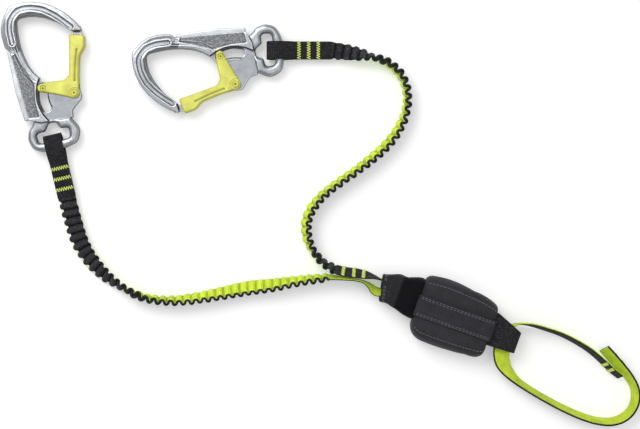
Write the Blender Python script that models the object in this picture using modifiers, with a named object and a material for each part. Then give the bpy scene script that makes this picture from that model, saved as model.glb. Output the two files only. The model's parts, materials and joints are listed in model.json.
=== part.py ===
"""Via ferrata lanyard, laid out flat on a table.

Two palm-squeeze carabiners hang in the sewn end loops of two elastic webbing
legs. The legs join in a sewn Y, run through a soft neck sleeve and end on the
folded tear webbing of the energy absorber, which sits in a fabric pouch. A
webbing tab leaves the far end of the pouch and carries the tie-in loop.
Metres, +Z up, the table is z = 0 and the origin lies under the pouch.
"""
import math

import bmesh
import bpy
from mathutils import Matrix, Vector

# Remove what a new scene holds
for thing in list(bpy.data.objects):
    bpy.data.objects.remove(thing, do_unlink=True)

# Carabiner, all outlines are shares of this length
FRAME_LENGTH = 0.136
FRAME_HALF = 0.0060        # half thickness of hook and spine
FRAME_RIM = 0.0012         # rounding of the forged edges
RING_HALF = 0.0042         # half thickness of the eye ring
RING_RIM = 0.0030          # rounding of the eye ring, for the strap's sake
WEB_HALF = 0.0034          # half thickness of the thinned web under the gate
PANEL_DEPTH = 0.0008       # recess of the spine's grip panel
HOOK_GROOVE_DEPTH = 0.0009
HOOK_GROOVE_HALF = 0.0021
NOSE_HALF = 0.0016         # half thickness of the nose tongue
PART_GAP = 0.0004          # running gap between moving faces
SEAT_GAP = 0.0003          # gap between pieces that touch
CUT_OVERRUN = 0.0040       # how far a cutter passes the faces it opens

# Gate, a channel whose two cheeks straddle the web
CHEEK_WALL = 0.0018
GATE_RIM = 0.0007
GATE_GROOVE_DEPTH = 0.0006
GATE_GROOVE_HALF = 0.0009
RIVET_RADIUS = 0.0021
RIVET_HEAD_RADIUS = 0.0031
RIVET_HEAD_HEIGHT = 0.0005
PIN_RADIUS = 0.0036        # roller on the lock pin, runs in the arc slot
PIN_END_RADIUS = 0.0021
BORE_CLEARANCE = 0.0002

# Palm lever in the channel of the spine
LEVER_HALF = 0.0028
LEVER_RIM = 0.0006
LATCH_HALF = 0.0013
LEVER_RIVET_RADIUS = 0.0013

# Return springs, wound round the two rivets
GATE_SPRING_RADIUS = 0.0034
GATE_SPRING_WIRE = 0.00035
GATE_SPRING_TURNS = 2
LEVER_SPRING_RADIUS = 0.0024
LEVER_SPRING_WIRE = 0.00030
LEVER_SPRING_TURNS = 2
SPRING_FLOOR = 0.0008      # metal left under each spring pocket
SPRING_SLACK = 0.0003

# Webbing
WEBBING_WIDTH = 0.0160
WEBBING_THICK = 0.0016
LOOP_SLACK = 0.0009        # room between eye bar and end loop
LOOP_CREST = 0.0102        # end loop's top above the eye bar's centre
LOOP_THROAT = 0.0170       # where the loop's two layers meet
LOOP_ROUND_SHARE = 0.8     # rounding of the loop's crest, of its half height
LEG_SEWN_LENGTH = 0.0480   # from the eye bar to the first rib
RIB_PITCH = 0.0074
RIB_WAVE = 0.0015          # half height of the gathered wave
RIBBED_THICK = 0.0022
RIB_FADE = 0.0150          # length in which the waves rise at the ends
LEVEL_FLAT = 0.0300        # stretch of a tape that keeps the height of its end
LEVEL_RUN = 0.0600         # length in which it then comes down to the table
TABLE_GAP = 0.0002
TIE_IN_WIDTH = 0.0150
TIE_IN_THICK = 0.0020

# Pouch, sleeve, absorber and tab, along the pouch's own axis
POUCH_LENGTH = 0.0720
POUCH_WIDTH = 0.0600
POUCH_HEIGHT = 0.0290
POUCH_WALL = 0.0014
POUCH_BAND_WIDTH = 0.0190
POUCH_BAND_THICK = 0.0012
POUCH_TURN = -19.5         # degrees, seen from above
SLEEVE_WALL = 0.0012
SLEEVE_MOUTH_WIDTH = 0.0240
SLEEVE_HEIGHT = 0.0196
SLEEVE_SIDE = 0.0051       # the sleeve's middle beside the pouch's axis
SLEEVE_ROUND_SHARE = 0.35  # 1 is an ellipse, towards 0 a sharp rectangle
PACK_WIDTH = 0.0250
PACK_LAYERS = 6
PACK_LAYER_THICK = 0.0022
PACK_LAYER_PITCH = 0.0034
PACK_LENGTH = 0.0520
TONGUE_REACH = 0.0510      # from the pouch's middle to the tongue's end
TONGUE_EDGES = (-0.0050, 0.0120)
TONGUE_LAYER = 2
TAB_THICK = 0.0018
TAB_REACH = 0.0613         # from the pouch's middle to the tab's fold
TAB_ROOT_EDGES = (-0.0132, 0.0173)
TAB_TIP_EDGES = (-0.0121, 0.0069)
TAB_OPEN_HEIGHT = 0.0160   # inside the tab's round end
TAB_MOUTH_HEIGHT = 0.0128  # inside the tab where it leaves the pouch
TAB_FLOOR_GAP = 0.0007     # room under the tab in the pouch's mouth
TAB_MIDDLE = (0.0500, 0.0) # where the tie-in loop passes, along and across
TAB_LIFT_FLAT = 0.0140     # stretch of the loop that keeps the tab's level
TAB_LIFT_RUN = 0.0300      # stretch in which it comes down to the table

# Fineness of round outlines and turned pieces
ARC_STEP = math.radians(24.0)
ARC_SAG = 0.00015          # most that a wide arc's straight steps may depart from it
TURN_STEPS = 16
COIL_STEPS = 8
ROUTE_STEPS = 12
LINE_STEPS = 3
RIB_STEPS = 4
SECTION_STEPS = 18
HALF_SHARE = 0.48          # most of an edge that one rounded corner takes
MITRE_SHARE = 0.5          # sharpest fold that keeps its full thickness
WELD = 0.00002

# Corners of closed outlines: x, y and corner radius in shares of FRAME_LENGTH.
# The eye bar's centre is 0, 0, the hook points up +Y and the gate is on +X.
FRAME_SHARES = (
    (0.349, 0.701, 0.012), (0.309, 0.779, 0.110), (0.199, 0.897, 0.162),
    (0.059, 0.960, 0.162), (-0.096, 0.964, 0.066), (-0.179, 0.835, 0.088),
    (-0.179, 0.693, 0.012), (-0.151, 0.659, 0.015), (-0.137, 0.392, 0.147),
    (-0.124, 0.199, 0.013), (-0.113, 0.174, 0.013), (-0.144, 0.125, 0.044),
    (-0.159, 0.066, 0.059), (-0.132, -0.004, 0.059), (-0.055, -0.032, 0.059),
    (0.059, -0.032, 0.059), (0.165, -0.009, 0.059), (0.203, 0.077, 0.066),
    (0.166, 0.147, 0.037), (0.171, 0.210, 0.044), (0.253, 0.274, 0.041),
    (0.246, 0.353, 0.037), (0.166, 0.350, 0.022), (0.140, 0.347, 0.015),
    (0.104, 0.396, 0.029), (0.033, 0.431, 0.059), (-0.031, 0.499, 0.103),
    (-0.076, 0.632, 0.184), (-0.081, 0.779, 0.103), (-0.072, 0.874, 0.033),
    (0.051, 0.867, 0.147), (0.176, 0.806, 0.221), (0.275, 0.718, 0.012),
)
TONGUE_SHARES = (
    (0.284, 0.745, 0.0), (0.279, 0.687, 0.007),
    (0.337, 0.670, 0.007), (0.337, 0.738, 0.0),
)
EYE_SHARES = (
    (-0.034, 0.103, 0.024), (0.000, 0.151, 0.022), (0.048, 0.150, 0.022),
    (0.068, 0.104, 0.024), (0.125, 0.100, 0.022), (0.120, 0.031, 0.024),
    (0.007, 0.030, 0.147), (-0.090, 0.031, 0.024), (-0.097, 0.100, 0.022),
)
PANEL_SHARES = (
    (-0.118, 0.642, 0.007), (-0.084, 0.541, 0.074), (-0.035, 0.421, 0.022),
    (-0.053, 0.294, 0.147), (-0.048, 0.199, 0.007), (-0.170, 0.214, 0.0),
    (-0.190, 0.600, 0.0),
)
RING_SHARES = (
    (-0.141, 0.125, 0.044), (-0.157, 0.066, 0.059), (-0.132, -0.004, 0.059),
    (-0.055, -0.032, 0.059), (0.059, -0.032, 0.059), (0.165, -0.009, 0.059),
    (0.202, 0.077, 0.066), (0.160, 0.148, 0.037), (0.140, 0.198, 0.024),
    (-0.078, 0.202, 0.024), (-0.104, 0.168, 0.024),
)
RING_ZONE_SHARES = (
    (-0.250, 0.240, 0.0), (-0.118, 0.193, 0.0), (-0.040, 0.163, 0.0),
    (0.007, 0.163, 0.0), (0.294, 0.157, 0.0), (0.294, -0.147, 0.0),
    (-0.250, -0.147, 0.0),
)
GATE_SHARES = (
    (0.255, 0.694, 0.012), (0.352, 0.673, 0.015), (0.337, 0.599, 0.044),
    (0.291, 0.546, 0.059), (0.260, 0.419, 0.147), (0.245, 0.328, 0.029),
    (0.244, 0.285, 0.029), (0.203, 0.276, 0.037), (0.144, 0.304, 0.059),
    (0.011, 0.360, 0.022), (-0.026, 0.368, 0.029), (-0.019, 0.413, 0.029),
    (0.051, 0.417, 0.059), (0.160, 0.407, 0.029), (0.201, 0.432, 0.029),
    (0.222, 0.530, 0.147), (0.240, 0.618, 0.147),
)
GATE_CHANNEL_SHARES = (
    (0.2225, 0.530, 0.0), (0.190, 0.372, 0.0), (0.300, 0.350, 0.0),
    (0.300, 0.235, 0.0), (-0.090, 0.235, 0.0), (-0.090, 0.530, 0.0),
)
LEVER_SHARES = (
    (-0.171, 0.681, 0.026), (-0.102, 0.684, 0.029), (-0.101, 0.632, 0.022),
    (-0.107, 0.394, 0.015), (-0.100, 0.203, 0.011), (-0.151, 0.193, 0.009),
    (-0.172, 0.393, 0.221),
)
LATCH_SHARES = (
    (-0.125, 0.372, 0.0), (-0.047, 0.362, 0.004), (-0.047, 0.343, 0.004),
    (-0.125, 0.328, 0.0),
)
POCKET_SHARES = (
    (-0.250, 0.690, 0.0), (-0.097, 0.690, 0.022), (-0.095, 0.632, 0.022),
    (-0.083, 0.382, 0.004), (-0.063, 0.185, 0.004), (-0.250, 0.185, 0.0),
)
TUNNEL_SHARES = (
    (-0.103, 0.381, 0.0), (-0.015, 0.372, 0.0), (-0.015, 0.326, 0.0),
    (-0.103, 0.319, 0.0),
)
HOOK_LINE_SHARES = (
    (-0.123, 0.713), (-0.124, 0.794), (-0.106, 0.864), (-0.048, 0.918),
    (0.037, 0.920), (0.118, 0.892), (0.191, 0.837), (0.254, 0.769),
    (0.279, 0.741),
)
GATE_LINE_SHARES = ((0.284, 0.590), (0.246, 0.463), (0.230, 0.390))
PIVOT_SHARE = (0.2103, 0.3118)
LEVER_PIVOT_SHARE = (-0.1279, 0.6559)
PIN_ORBIT_SHARE = 0.2081   # pin's distance from the gate pivot
SWEEP_SHARE = 0.2522       # reach of the gate's inner arm round its pivot
LUG_SHARE = 0.066          # radius kept clear for the lug inside the gate
PIN_REST_ANGLE = 160.0     # degrees round the pivot, from +X
GATE_TRAVEL = 35.0
SLOT_SPARE_ANGLE = 1.5
TONGUE_SLOT_SHARE = 0.3706  # floor of the gate's mouth, from the pivot
TONGUE_SLOT_ANGLES = (80.8, 30.0)
SWEEP_ANGLES = (98.0, 216.0)
SWEEP_FOOT_SHARES = ((0.155, 0.150), (0.300, 0.170))

# Places on the table, in metres
CARABINER_A_AT = (-0.3595, 0.1540)
CARABINER_A_TURN = 11.8
CARABINER_B_AT = (-0.1579, 0.2436)
CARABINER_B_TURN = 98.3
STRAP_A_TURN = -76.6       # degrees, the way each strap leaves its eye bar
STRAP_B_TURN = 0.0
STRAP_A_SHIFT = 0.0010     # the strap's centre beside the eye bar's centre
STRAP_B_SHIFT = -0.0039

# Routes of the webbing, chosen by hand: x, y and the roll of the black face
# from facing up, in degrees to the left of the way the tape runs
LEG_A_ROUTE = (
    (-0.3409, 0.0844, -4), (-0.3358, 0.0689, -12),
    (-0.3285, 0.0555, -25), (-0.3176, 0.0422, -40), (-0.3064, 0.0326, -58),
    (-0.2905, 0.0229, -82), (-0.2750, 0.0177, -100), (-0.2578, 0.0156, -108),
    (-0.2407, 0.0164, -116), (-0.2236, 0.0190, -122), (-0.2061, 0.0224, -130),
    (-0.1838, 0.0267, -138), (-0.1631, 0.0293, -130), (-0.1459, 0.0322, -120),
    (-0.1287, 0.0345, -112), (-0.1114, 0.0362, -104),
)
LEG_B_ROUTE = (
    (-0.1000, 0.2386, 10), (-0.0850, 0.2363, 28),
    (-0.0760, 0.2346, 45), (-0.0666, 0.2318, 66), (-0.0579, 0.2273, 84),
    (-0.0502, 0.2206, 96), (-0.0454, 0.2132, 100), (-0.0427, 0.2045, 102),
    (-0.0419, 0.1965, 104), (-0.0427, 0.1880, 106), (-0.0447, 0.1804, 110),
    (-0.0481, 0.1729, 114), (-0.0522, 0.1658, 116), (-0.0574, 0.1587, 118),
    (-0.0639, 0.1517, 118), (-0.0719, 0.1446, 118), (-0.0805, 0.1376, 116),
    (-0.0890, 0.1312, 114), (-0.0976, 0.1252, 114), (-0.1064, 0.1189, 114),
    (-0.1151, 0.1123, 114), (-0.1220, 0.1055, 116), (-0.1277, 0.0982, 118),
    (-0.1315, 0.0904, 118), (-0.1330, 0.0820, 118), (-0.1322, 0.0735, 116),
    (-0.1297, 0.0653, 110), (-0.1250, 0.0576, 98), (-0.1188, 0.0511, 82),
    (-0.1118, 0.0458, 68), (-0.1040, 0.0424, 60),
)
TAIL_A_ROUTE = (
    (-0.1114, 0.0362, -104), (-0.0990, 0.0349, -97), (-0.0890, 0.0338, -94),
    (-0.0810, 0.0320, -96), (-0.0756, 0.0285, -106), (-0.0717, 0.0245, -116),
    (-0.0680, 0.0229, -116), (-0.0630, 0.0218, -106), (-0.0560, 0.0195, -92),
    (-0.0490, 0.0168, -90),
)
TAIL_B_ROUTE = (
    (-0.1040, 0.0424, 60), (-0.0970, 0.0408, 60), (-0.0880, 0.0397, 60),
    (-0.0790, 0.0382, 66), (-0.0710, 0.0362, 80), (-0.0640, 0.0332, 90),
    (-0.0580, 0.0300, 90), (-0.0520, 0.0265, 90), (-0.0465, 0.0240, 90),
)
TIE_IN_ROUTE = (
    (0.1500, -0.0535, 72), (0.1427, -0.0478, 72), (0.1337, -0.0392, 73),
    (0.1229, -0.0300, 74), (0.1094, -0.0215, 75), (0.0959, -0.0149, 76),
    (0.0824, -0.0103, 77), (0.0718, -0.0072, 79), (0.0635, -0.0057, 83),
    (0.0568, -0.0057, 88), (0.0508, -0.0083, 98), (0.0468, -0.0130, 124),
    (0.0446, -0.0190, 154), (0.0430, -0.0260, 176), (0.0424, -0.0330, 188),
    (0.0440, -0.0410, 204), (0.0498, -0.0500, 230), (0.0594, -0.0590, 246),
    (0.0730, -0.0679, 250), (0.0867, -0.0757, 250),
    (0.1001, -0.0826, 250), (0.1136, -0.0885, 250), (0.1271, -0.0927, 250),
    (0.1400, -0.0940, 250), (0.1510, -0.0910, 250), (0.1590, -0.0842, 250),
    (0.1633, -0.0745, 250), (0.1628, -0.0638, 250), (0.1578, -0.0540, 250),
    (0.1508, -0.0453, 250), (0.1430, -0.0366, 250), (0.1352, -0.0280, 250),
)
# The sleeve's middle line: x, y on the table
SLEEVE_ROUTE = ((-0.0655, 0.0268), (-0.0560, 0.0252), (-0.0450, 0.0214))

# The pouch's outline seen from above: along its axis as a share of the length,
# the lower and upper edge as shares of the width, the height as a share of the
# full height, and how far the sides puff up beside the band
POUCH_SHARES = (
    (-0.500, -0.230, 0.400, 0.76, 0.0), (-0.493, -0.340, 0.455, 0.83, 0.4),
    (-0.450, -0.425, 0.490, 0.90, 0.8), (-0.360, -0.490, 0.505, 0.95, 1.0),
    (-0.200, -0.500, 0.520, 0.99, 1.0), (-0.050, -0.495, 0.515, 1.00, 1.0),
    (0.110, -0.490, 0.495, 1.00, 1.0), (0.270, -0.480, 0.470, 0.97, 1.0),
    (0.400, -0.465, 0.430, 0.92, 0.9), (0.465, -0.430, 0.390, 0.86, 0.7),
    (0.493, -0.370, 0.355, 0.81, 0.4), (0.500, -0.320, 0.345, 0.78, 0.2),
)
# Half a section of the pouch, from the band's edge over the side to the floor:
# share of the way out to the side, share of the height
POUCH_SECTION_SHARES = (
    (0.00, 0.90), (0.34, 1.00), (0.66, 0.96), (0.89, 0.80), (1.00, 0.56),
    (1.00, 0.32), (0.95, 0.10), (0.82, 0.0), (0.00, 0.0),
)

# Sizes that follow from the ones above
CHEEK_INNER = WEB_HALF + PART_GAP
GATE_HALF = CHEEK_INNER + CHEEK_WALL
RIVET_TOP = GATE_HALF + SEAT_GAP + RIVET_HEAD_HEIGHT
LOOP_INNER_HALF = RING_HALF + LOOP_SLACK
LOOP_OUTER_HALF = LOOP_INNER_HALF + WEBBING_THICK
CARABINER_LEVEL = max(FRAME_HALF, RIVET_TOP, LOOP_OUTER_HALF) + TABLE_GAP
POCKET_HALF = LEVER_HALF + PART_GAP
LATCH_POCKET_HALF = LATCH_HALF + PART_GAP
PIVOT = Vector(PIVOT_SHARE) * FRAME_LENGTH
LEVER_PIVOT = Vector(LEVER_PIVOT_SHARE) * FRAME_LENGTH
PIN_ORBIT = PIN_ORBIT_SHARE * FRAME_LENGTH
PIN_AT = PIVOT + Matrix.Rotation(math.radians(PIN_REST_ANGLE), 2) @ Vector((PIN_ORBIT, 0.0))

TAB_BASE = POUCH_WALL + TAB_FLOOR_GAP
TAB_LEVEL = TAB_BASE + TAB_THICK + TAB_OPEN_HEIGHT / 2

# Collections for the object and for what only cuts it
PARTS = bpy.data.collections.new("via_ferrata_lanyard")
CUTTERS = bpy.data.collections.new("cutters")
bpy.context.scene.collection.children.link(PARTS)
bpy.context.scene.collection.children.link(CUTTERS)


def material(name, colour, roughness, metallic):
    """One Principled material."""
    made = bpy.data.materials.new(name)
    made.use_nodes = True
    made.diffuse_color = (*colour, 1.0)
    shader = made.node_tree.nodes["Principled BSDF"]
    shader.inputs["Base Color"].default_value = (*colour, 1.0)
    shader.inputs["Roughness"].default_value = roughness
    shader.inputs["Metallic"].default_value = metallic
    return made


FORGED = material("forged_aluminium", (0.42, 0.44, 0.47), 0.38, 1.0)
GATE_PAINT = material("yellow_anodised", (0.83, 0.84, 0.12), 0.42, 0.2)
STEEL = material("steel_pin", (0.55, 0.55, 0.56), 0.30, 1.0)
LEVER_METAL = material("lever_aluminium", (0.66, 0.68, 0.71), 0.35, 1.0)
BLACK_WEBBING = material("black_webbing", (0.028, 0.028, 0.031), 0.85, 0.0)
GREEN_WEBBING = material("green_webbing", (0.52, 0.66, 0.03), 0.80, 0.0)
POUCH_FABRIC = material("pouch_fabric", (0.032, 0.032, 0.036), 0.80, 0.0)


def filleted(corners, size):
    """Closed outline with rounded corners, each (x, y, radius) in shares."""
    points = []
    count = len(corners)
    for index, (across, along, radius) in enumerate(corners):
        corner = Vector((across, along)) * size
        to_last = Vector(corners[index - 1][:2]) * size - corner
        to_next = Vector(corners[(index + 1) % count][:2]) * size - corner
        turn = math.pi - to_last.angle(to_next)
        if radius == 0 or turn < ARC_STEP * HALF_SHARE:
            points.append(corner)
            continue
        reach = radius * size * math.tan(turn / 2)
        reach = min(reach, to_last.length * HALF_SHARE, to_next.length * HALF_SHARE)
        middle = (to_last.normalized() + to_next.normalized()).normalized()
        centre = corner + middle * math.hypot(reach, reach / math.tan(turn / 2))
        spoke = corner + to_last.normalized() * reach - centre
        way = math.copysign(turn, to_last.cross(to_next) * -1)
        round_radius = reach / math.tan(turn / 2)
        step_angle = min(ARC_STEP, 2 * math.acos(max(0.0, 1 - ARC_SAG / round_radius)))
        steps = max(1, math.ceil(turn / step_angle))
        for step in range(steps + 1):
            points.append(centre + Matrix.Rotation(way * step / steps, 2) @ spoke)
    return points


def arc(centre, radius, start, end):
    """Points on an arc, angles in degrees, both ends included."""
    sweep = math.radians(end - start)
    steps = max(2, math.ceil(abs(sweep) / (ARC_STEP / 2)))
    first = math.radians(start)
    return [
        centre + Matrix.Rotation(first + sweep * step / steps, 2) @ Vector((radius, 0.0))
        for step in range(steps + 1)
    ]


def circle(centre, radius):
    """Closed round outline."""
    turn = math.tau / TURN_STEPS
    return [
        centre + Matrix.Rotation(turn * step, 2) @ Vector((radius, 0.0))
        for step in range(TURN_STEPS)
    ]


def ring_sector(centre, inner, outer, start, end):
    """Closed outline between two radii and two angles."""
    return arc(centre, outer, start, end) + arc(centre, inner, end, start)


def arc_slot(centre, orbit, half, start, end):
    """Closed outline of a curved slot with round ends."""
    first = centre + Matrix.Rotation(math.radians(start), 2) @ Vector((orbit, 0.0))
    last = centre + Matrix.Rotation(math.radians(end), 2) @ Vector((orbit, 0.0))
    outline = arc(centre, orbit + half, start, end)
    outline += arc(last, half, end, end + 180.0)[1:-1]
    outline += arc(centre, orbit - half, end, start)
    outline += arc(first, half, start + 180.0, start + 360.0)[1:-1]
    return outline


def smooth(points, steps):
    """Catmull-Rom curve through the points, for any number of values a point."""
    vectors = [Vector(point) for point in points]
    first = vectors[0] * 2 - vectors[1]
    last = vectors[-1] * 2 - vectors[-2]
    padded = [first] + vectors + [last]
    curve = []
    for index in range(1, len(padded) - 2):
        a, b, c, d = padded[index - 1:index + 3]
        for step in range(steps):
            t = step / steps
            curve.append(
                (b * 2 + (c - a) * t + (a * 2 - b * 5 + c * 4 - d) * t ** 2
                 + (b * 3 - a - c * 3 + d) * t ** 3) / 2
            )
    curve.append(vectors[-1])
    return curve


def stroke(points, half):
    """Closed outline of a band along a line, with round ends."""
    left = []
    right = []
    for index, point in enumerate(points):
        before = points[max(index - 1, 0)]
        after = points[min(index + 1, len(points) - 1)]
        along = (after - before).normalized()
        side = Vector((-along.y, along.x)) * half
        left.append(point + side)
        right.append(point - side)
    start = math.degrees(math.atan2(*(points[0] - points[1]).yx))
    end = math.degrees(math.atan2(*(points[-1] - points[-2]).yx))
    tip = arc(points[-1], half, end + 90.0, end - 90.0)[1:-1]
    tail = arc(points[0], half, start + 90.0, start - 90.0)[1:-1]
    return left + tip + right[::-1] + tail


def meshed(source, name):
    """A new object with the evaluated mesh of source, which is removed."""
    bpy.context.view_layer.update()
    graph = bpy.context.evaluated_depsgraph_get()
    mesh = bpy.data.meshes.new_from_object(source.evaluated_get(graph))
    work = bmesh.new()
    work.from_mesh(mesh)
    bmesh.ops.remove_doubles(work, verts=work.verts, dist=WELD)
    bmesh.ops.dissolve_limit(
        work, angle_limit=math.radians(0.5), verts=work.verts, edges=work.edges, delimit={"NORMAL"}
    )
    bmesh.ops.recalc_face_normals(work, faces=work.faces)
    work.to_mesh(mesh)
    work.free()
    mesh.name = name
    made = bpy.data.objects.new(name, mesh)
    made.matrix_world = source.matrix_world.copy()
    for home in source.users_collection:
        home.objects.link(made)
    bpy.data.objects.remove(source, do_unlink=True)
    return made


def plate(name, outlines, half, rim, home, rim_steps=0):
    """Flat piece from closed outlines, holes included, with eased rims."""
    curve = bpy.data.curves.new(name, "CURVE")
    curve.dimensions = "2D"
    curve.fill_mode = "BOTH"
    curve.extrude = half - rim
    curve.bevel_depth = rim
    curve.bevel_resolution = rim_steps
    curve.offset = -rim
    for outline in outlines:
        spline = curve.splines.new("POLY")
        spline.points.add(len(outline) - 1)
        spline.use_cyclic_u = True
        for point, place in zip(spline.points, outline):
            point.co = (place[0], place[1], 0.0, 1.0)
    flat = bpy.data.objects.new(name + "_outline", curve)
    home.objects.link(flat)
    made = meshed(flat, name)
    if home == CUTTERS:
        made.hide_render = True
        made.display_type = "WIRE"
    return made


def cutter(name, outline, low, high):
    """A flat cutter between two heights."""
    made = plate(name, [outline], (high - low) / 2, 0.0, CUTTERS)
    made.location.z = (high + low) / 2
    return made


def combine(target, tool, operation="DIFFERENCE"):
    """One Boolean modifier."""
    step = target.modifiers.new(tool.name, "BOOLEAN")
    step.operation = operation
    step.solver = "EXACT"
    step.object = tool


def both_faces(target, name, outline, low, high):
    """Cut the same outline into the upper and the lower face."""
    combine(target, cutter(name + "_upper", outline, low, high))
    combine(target, cutter(name + "_lower", outline, -high, -low))


def turned(name, profile, home):
    """Turned piece round Z: radius and height from the top to the bottom."""
    mesh = bpy.data.meshes.new(name)
    mesh.from_pydata([(radius, 0.0, height) for radius, height in profile],
                     [(step, step + 1) for step in range(len(profile) - 1)], [])
    made = bpy.data.objects.new(name, mesh)
    home.objects.link(made)
    screw = made.modifiers.new("turn", "SCREW")
    screw.steps = TURN_STEPS
    screw.render_steps = TURN_STEPS
    screw.use_merge_vertices = True
    screw.merge_threshold = WELD
    return meshed(made, name)


def coil(name, radius, wire, turns, low, high, home):
    """Closed-coil spring round Z between two heights."""
    curve = bpy.data.curves.new(name, "CURVE")
    curve.dimensions = "3D"
    curve.bevel_depth = wire
    curve.bevel_resolution = 1
    curve.use_fill_caps = True
    spline = curve.splines.new("POLY")
    count = COIL_STEPS * turns
    spline.points.add(count)
    climb = high - low - wire * 2
    for step, point in enumerate(spline.points):
        angle = math.tau * step / COIL_STEPS
        height = low + wire + climb * step / count
        point.co = (radius * math.cos(angle), radius * math.sin(angle), height, 1.0)
    made = bpy.data.objects.new(name + "_wire", curve)
    home.objects.link(made)
    return meshed(made, name)


def finished(target, name, pivot):
    """Apply the cuts and put the origin on the joint's axis."""
    made = meshed(target, name)
    made.data.transform(Matrix.Translation((-pivot.x, -pivot.y, 0.0)))
    return made


def loft(name, rings, home, closed=True):
    """Surface through rings of equal count; closed adds both end faces."""
    work = bmesh.new()
    rows = [[work.verts.new(point) for point in ring] for ring in rings]
    for row, following in zip(rows, rows[1:]):
        for index in range(len(row)):
            after = (index + 1) % len(row)
            work.faces.new((row[index], row[after], following[after], following[index]))
    if closed:
        work.faces.new(rows[0])
        work.faces.new(rows[-1])
    bmesh.ops.recalc_face_normals(work, faces=work.faces)
    mesh = bpy.data.meshes.new(name)
    work.to_mesh(mesh)
    work.free()
    made = bpy.data.objects.new(name, mesh)
    home.objects.link(made)
    return made


# Carabiner
def frame_mesh():
    """Forged body: hook, spine with lever channel, thin web and eye ring."""
    far = FRAME_HALF + CUT_OVERRUN
    outline = filleted(FRAME_SHARES, FRAME_LENGTH)
    eye = filleted(EYE_SHARES, FRAME_LENGTH)
    frame = plate("frame_blank", [outline], FRAME_HALF, FRAME_RIM, CUTTERS, rim_steps=1)
    tongue = plate("nose_tongue", [filleted(TONGUE_SHARES, FRAME_LENGTH)], NOSE_HALF, 0.0, CUTTERS)
    combine(frame, tongue, "UNION")
    combine(frame, cutter("ring_zone", filleted(RING_ZONE_SHARES, FRAME_LENGTH), -far, far))
    ring_outlines = [filleted(RING_SHARES, FRAME_LENGTH), eye]
    ring = plate("eye_ring", ring_outlines, RING_HALF, RING_RIM, CUTTERS, rim_steps=1)
    combine(frame, ring, "UNION")
    sweep = [PIVOT + Vector((LUG_SHARE, LUG_SHARE)) * FRAME_LENGTH]
    sweep += arc(PIVOT, SWEEP_SHARE * FRAME_LENGTH, *SWEEP_ANGLES)
    sweep += [Vector(place) * FRAME_LENGTH for place in SWEEP_FOOT_SHARES]
    both_faces(frame, "web_zone", sweep, WEB_HALF, far)
    both_faces(frame, "grip_panel", filleted(PANEL_SHARES, FRAME_LENGTH), FRAME_HALF - PANEL_DEPTH, far)
    hook_line = smooth([Vector(place) * FRAME_LENGTH for place in HOOK_LINE_SHARES], LINE_STEPS)
    hook_groove = stroke(hook_line, HOOK_GROOVE_HALF)
    both_faces(frame, "hook_groove", hook_groove, FRAME_HALF - HOOK_GROOVE_DEPTH, far)
    pocket = filleted(POCKET_SHARES, FRAME_LENGTH)
    combine(frame, cutter("lever_pocket", pocket, -POCKET_HALF, POCKET_HALF))
    tunnel = filleted(TUNNEL_SHARES, FRAME_LENGTH)
    combine(frame, cutter("latch_tunnel", tunnel, -LATCH_POCKET_HALF, LATCH_POCKET_HALF))
    last = PIN_REST_ANGLE + GATE_TRAVEL + SLOT_SPARE_ANGLE
    slot = arc_slot(PIVOT, PIN_ORBIT, PIN_RADIUS + PART_GAP, PIN_REST_ANGLE - SLOT_SPARE_ANGLE, last)
    combine(frame, cutter("arc_slot", slot, -far, far))
    combine(frame, cutter("rivet_bore", circle(PIVOT, RIVET_RADIUS + BORE_CLEARANCE), -far, far))
    spring_room = circle(PIVOT, GATE_SPRING_RADIUS + GATE_SPRING_WIRE + SPRING_SLACK)
    combine(frame, cutter("spring_room", spring_room, SPRING_FLOOR - WEB_HALF, far))
    lever_bore = circle(LEVER_PIVOT, LEVER_RIVET_RADIUS + BORE_CLEARANCE)
    combine(frame, cutter("lever_bore", lever_bore, -far, far))
    return finished(frame, "frame_body", Vector((0.0, 0.0)))


def gate_mesh():
    """L-shaped gate: solid long arm, two cheeks as its inner arm."""
    far = GATE_HALF + CUT_OVERRUN
    gate = plate("gate_blank", [filleted(GATE_SHARES, FRAME_LENGTH)], GATE_HALF, GATE_RIM, CUTTERS)
    channel = filleted(GATE_CHANNEL_SHARES, FRAME_LENGTH)
    combine(gate, cutter("channel", channel, -CHEEK_INNER, CHEEK_INNER))
    combine(gate, cutter("lug_room", circle(PIVOT, LUG_SHARE * FRAME_LENGTH), -CHEEK_INNER, CHEEK_INNER))
    mouth = ring_sector(PIVOT, TONGUE_SLOT_SHARE * FRAME_LENGTH, FRAME_LENGTH / 2, *TONGUE_SLOT_ANGLES)
    mouth_half = NOSE_HALF + PART_GAP
    combine(gate, cutter("mouth", mouth, -mouth_half, mouth_half))
    line = smooth([Vector(place) * FRAME_LENGTH for place in GATE_LINE_SHARES], LINE_STEPS)
    both_faces(gate, "gate_groove", stroke(line, GATE_GROOVE_HALF), GATE_HALF - GATE_GROOVE_DEPTH, far)
    combine(gate, cutter("gate_bore", circle(PIVOT, RIVET_RADIUS + BORE_CLEARANCE), -far, far))
    combine(gate, cutter("pin_bore", circle(PIN_AT, PIN_END_RADIUS + BORE_CLEARANCE), -far, far))
    return finished(gate, "gate_body", PIVOT)


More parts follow.
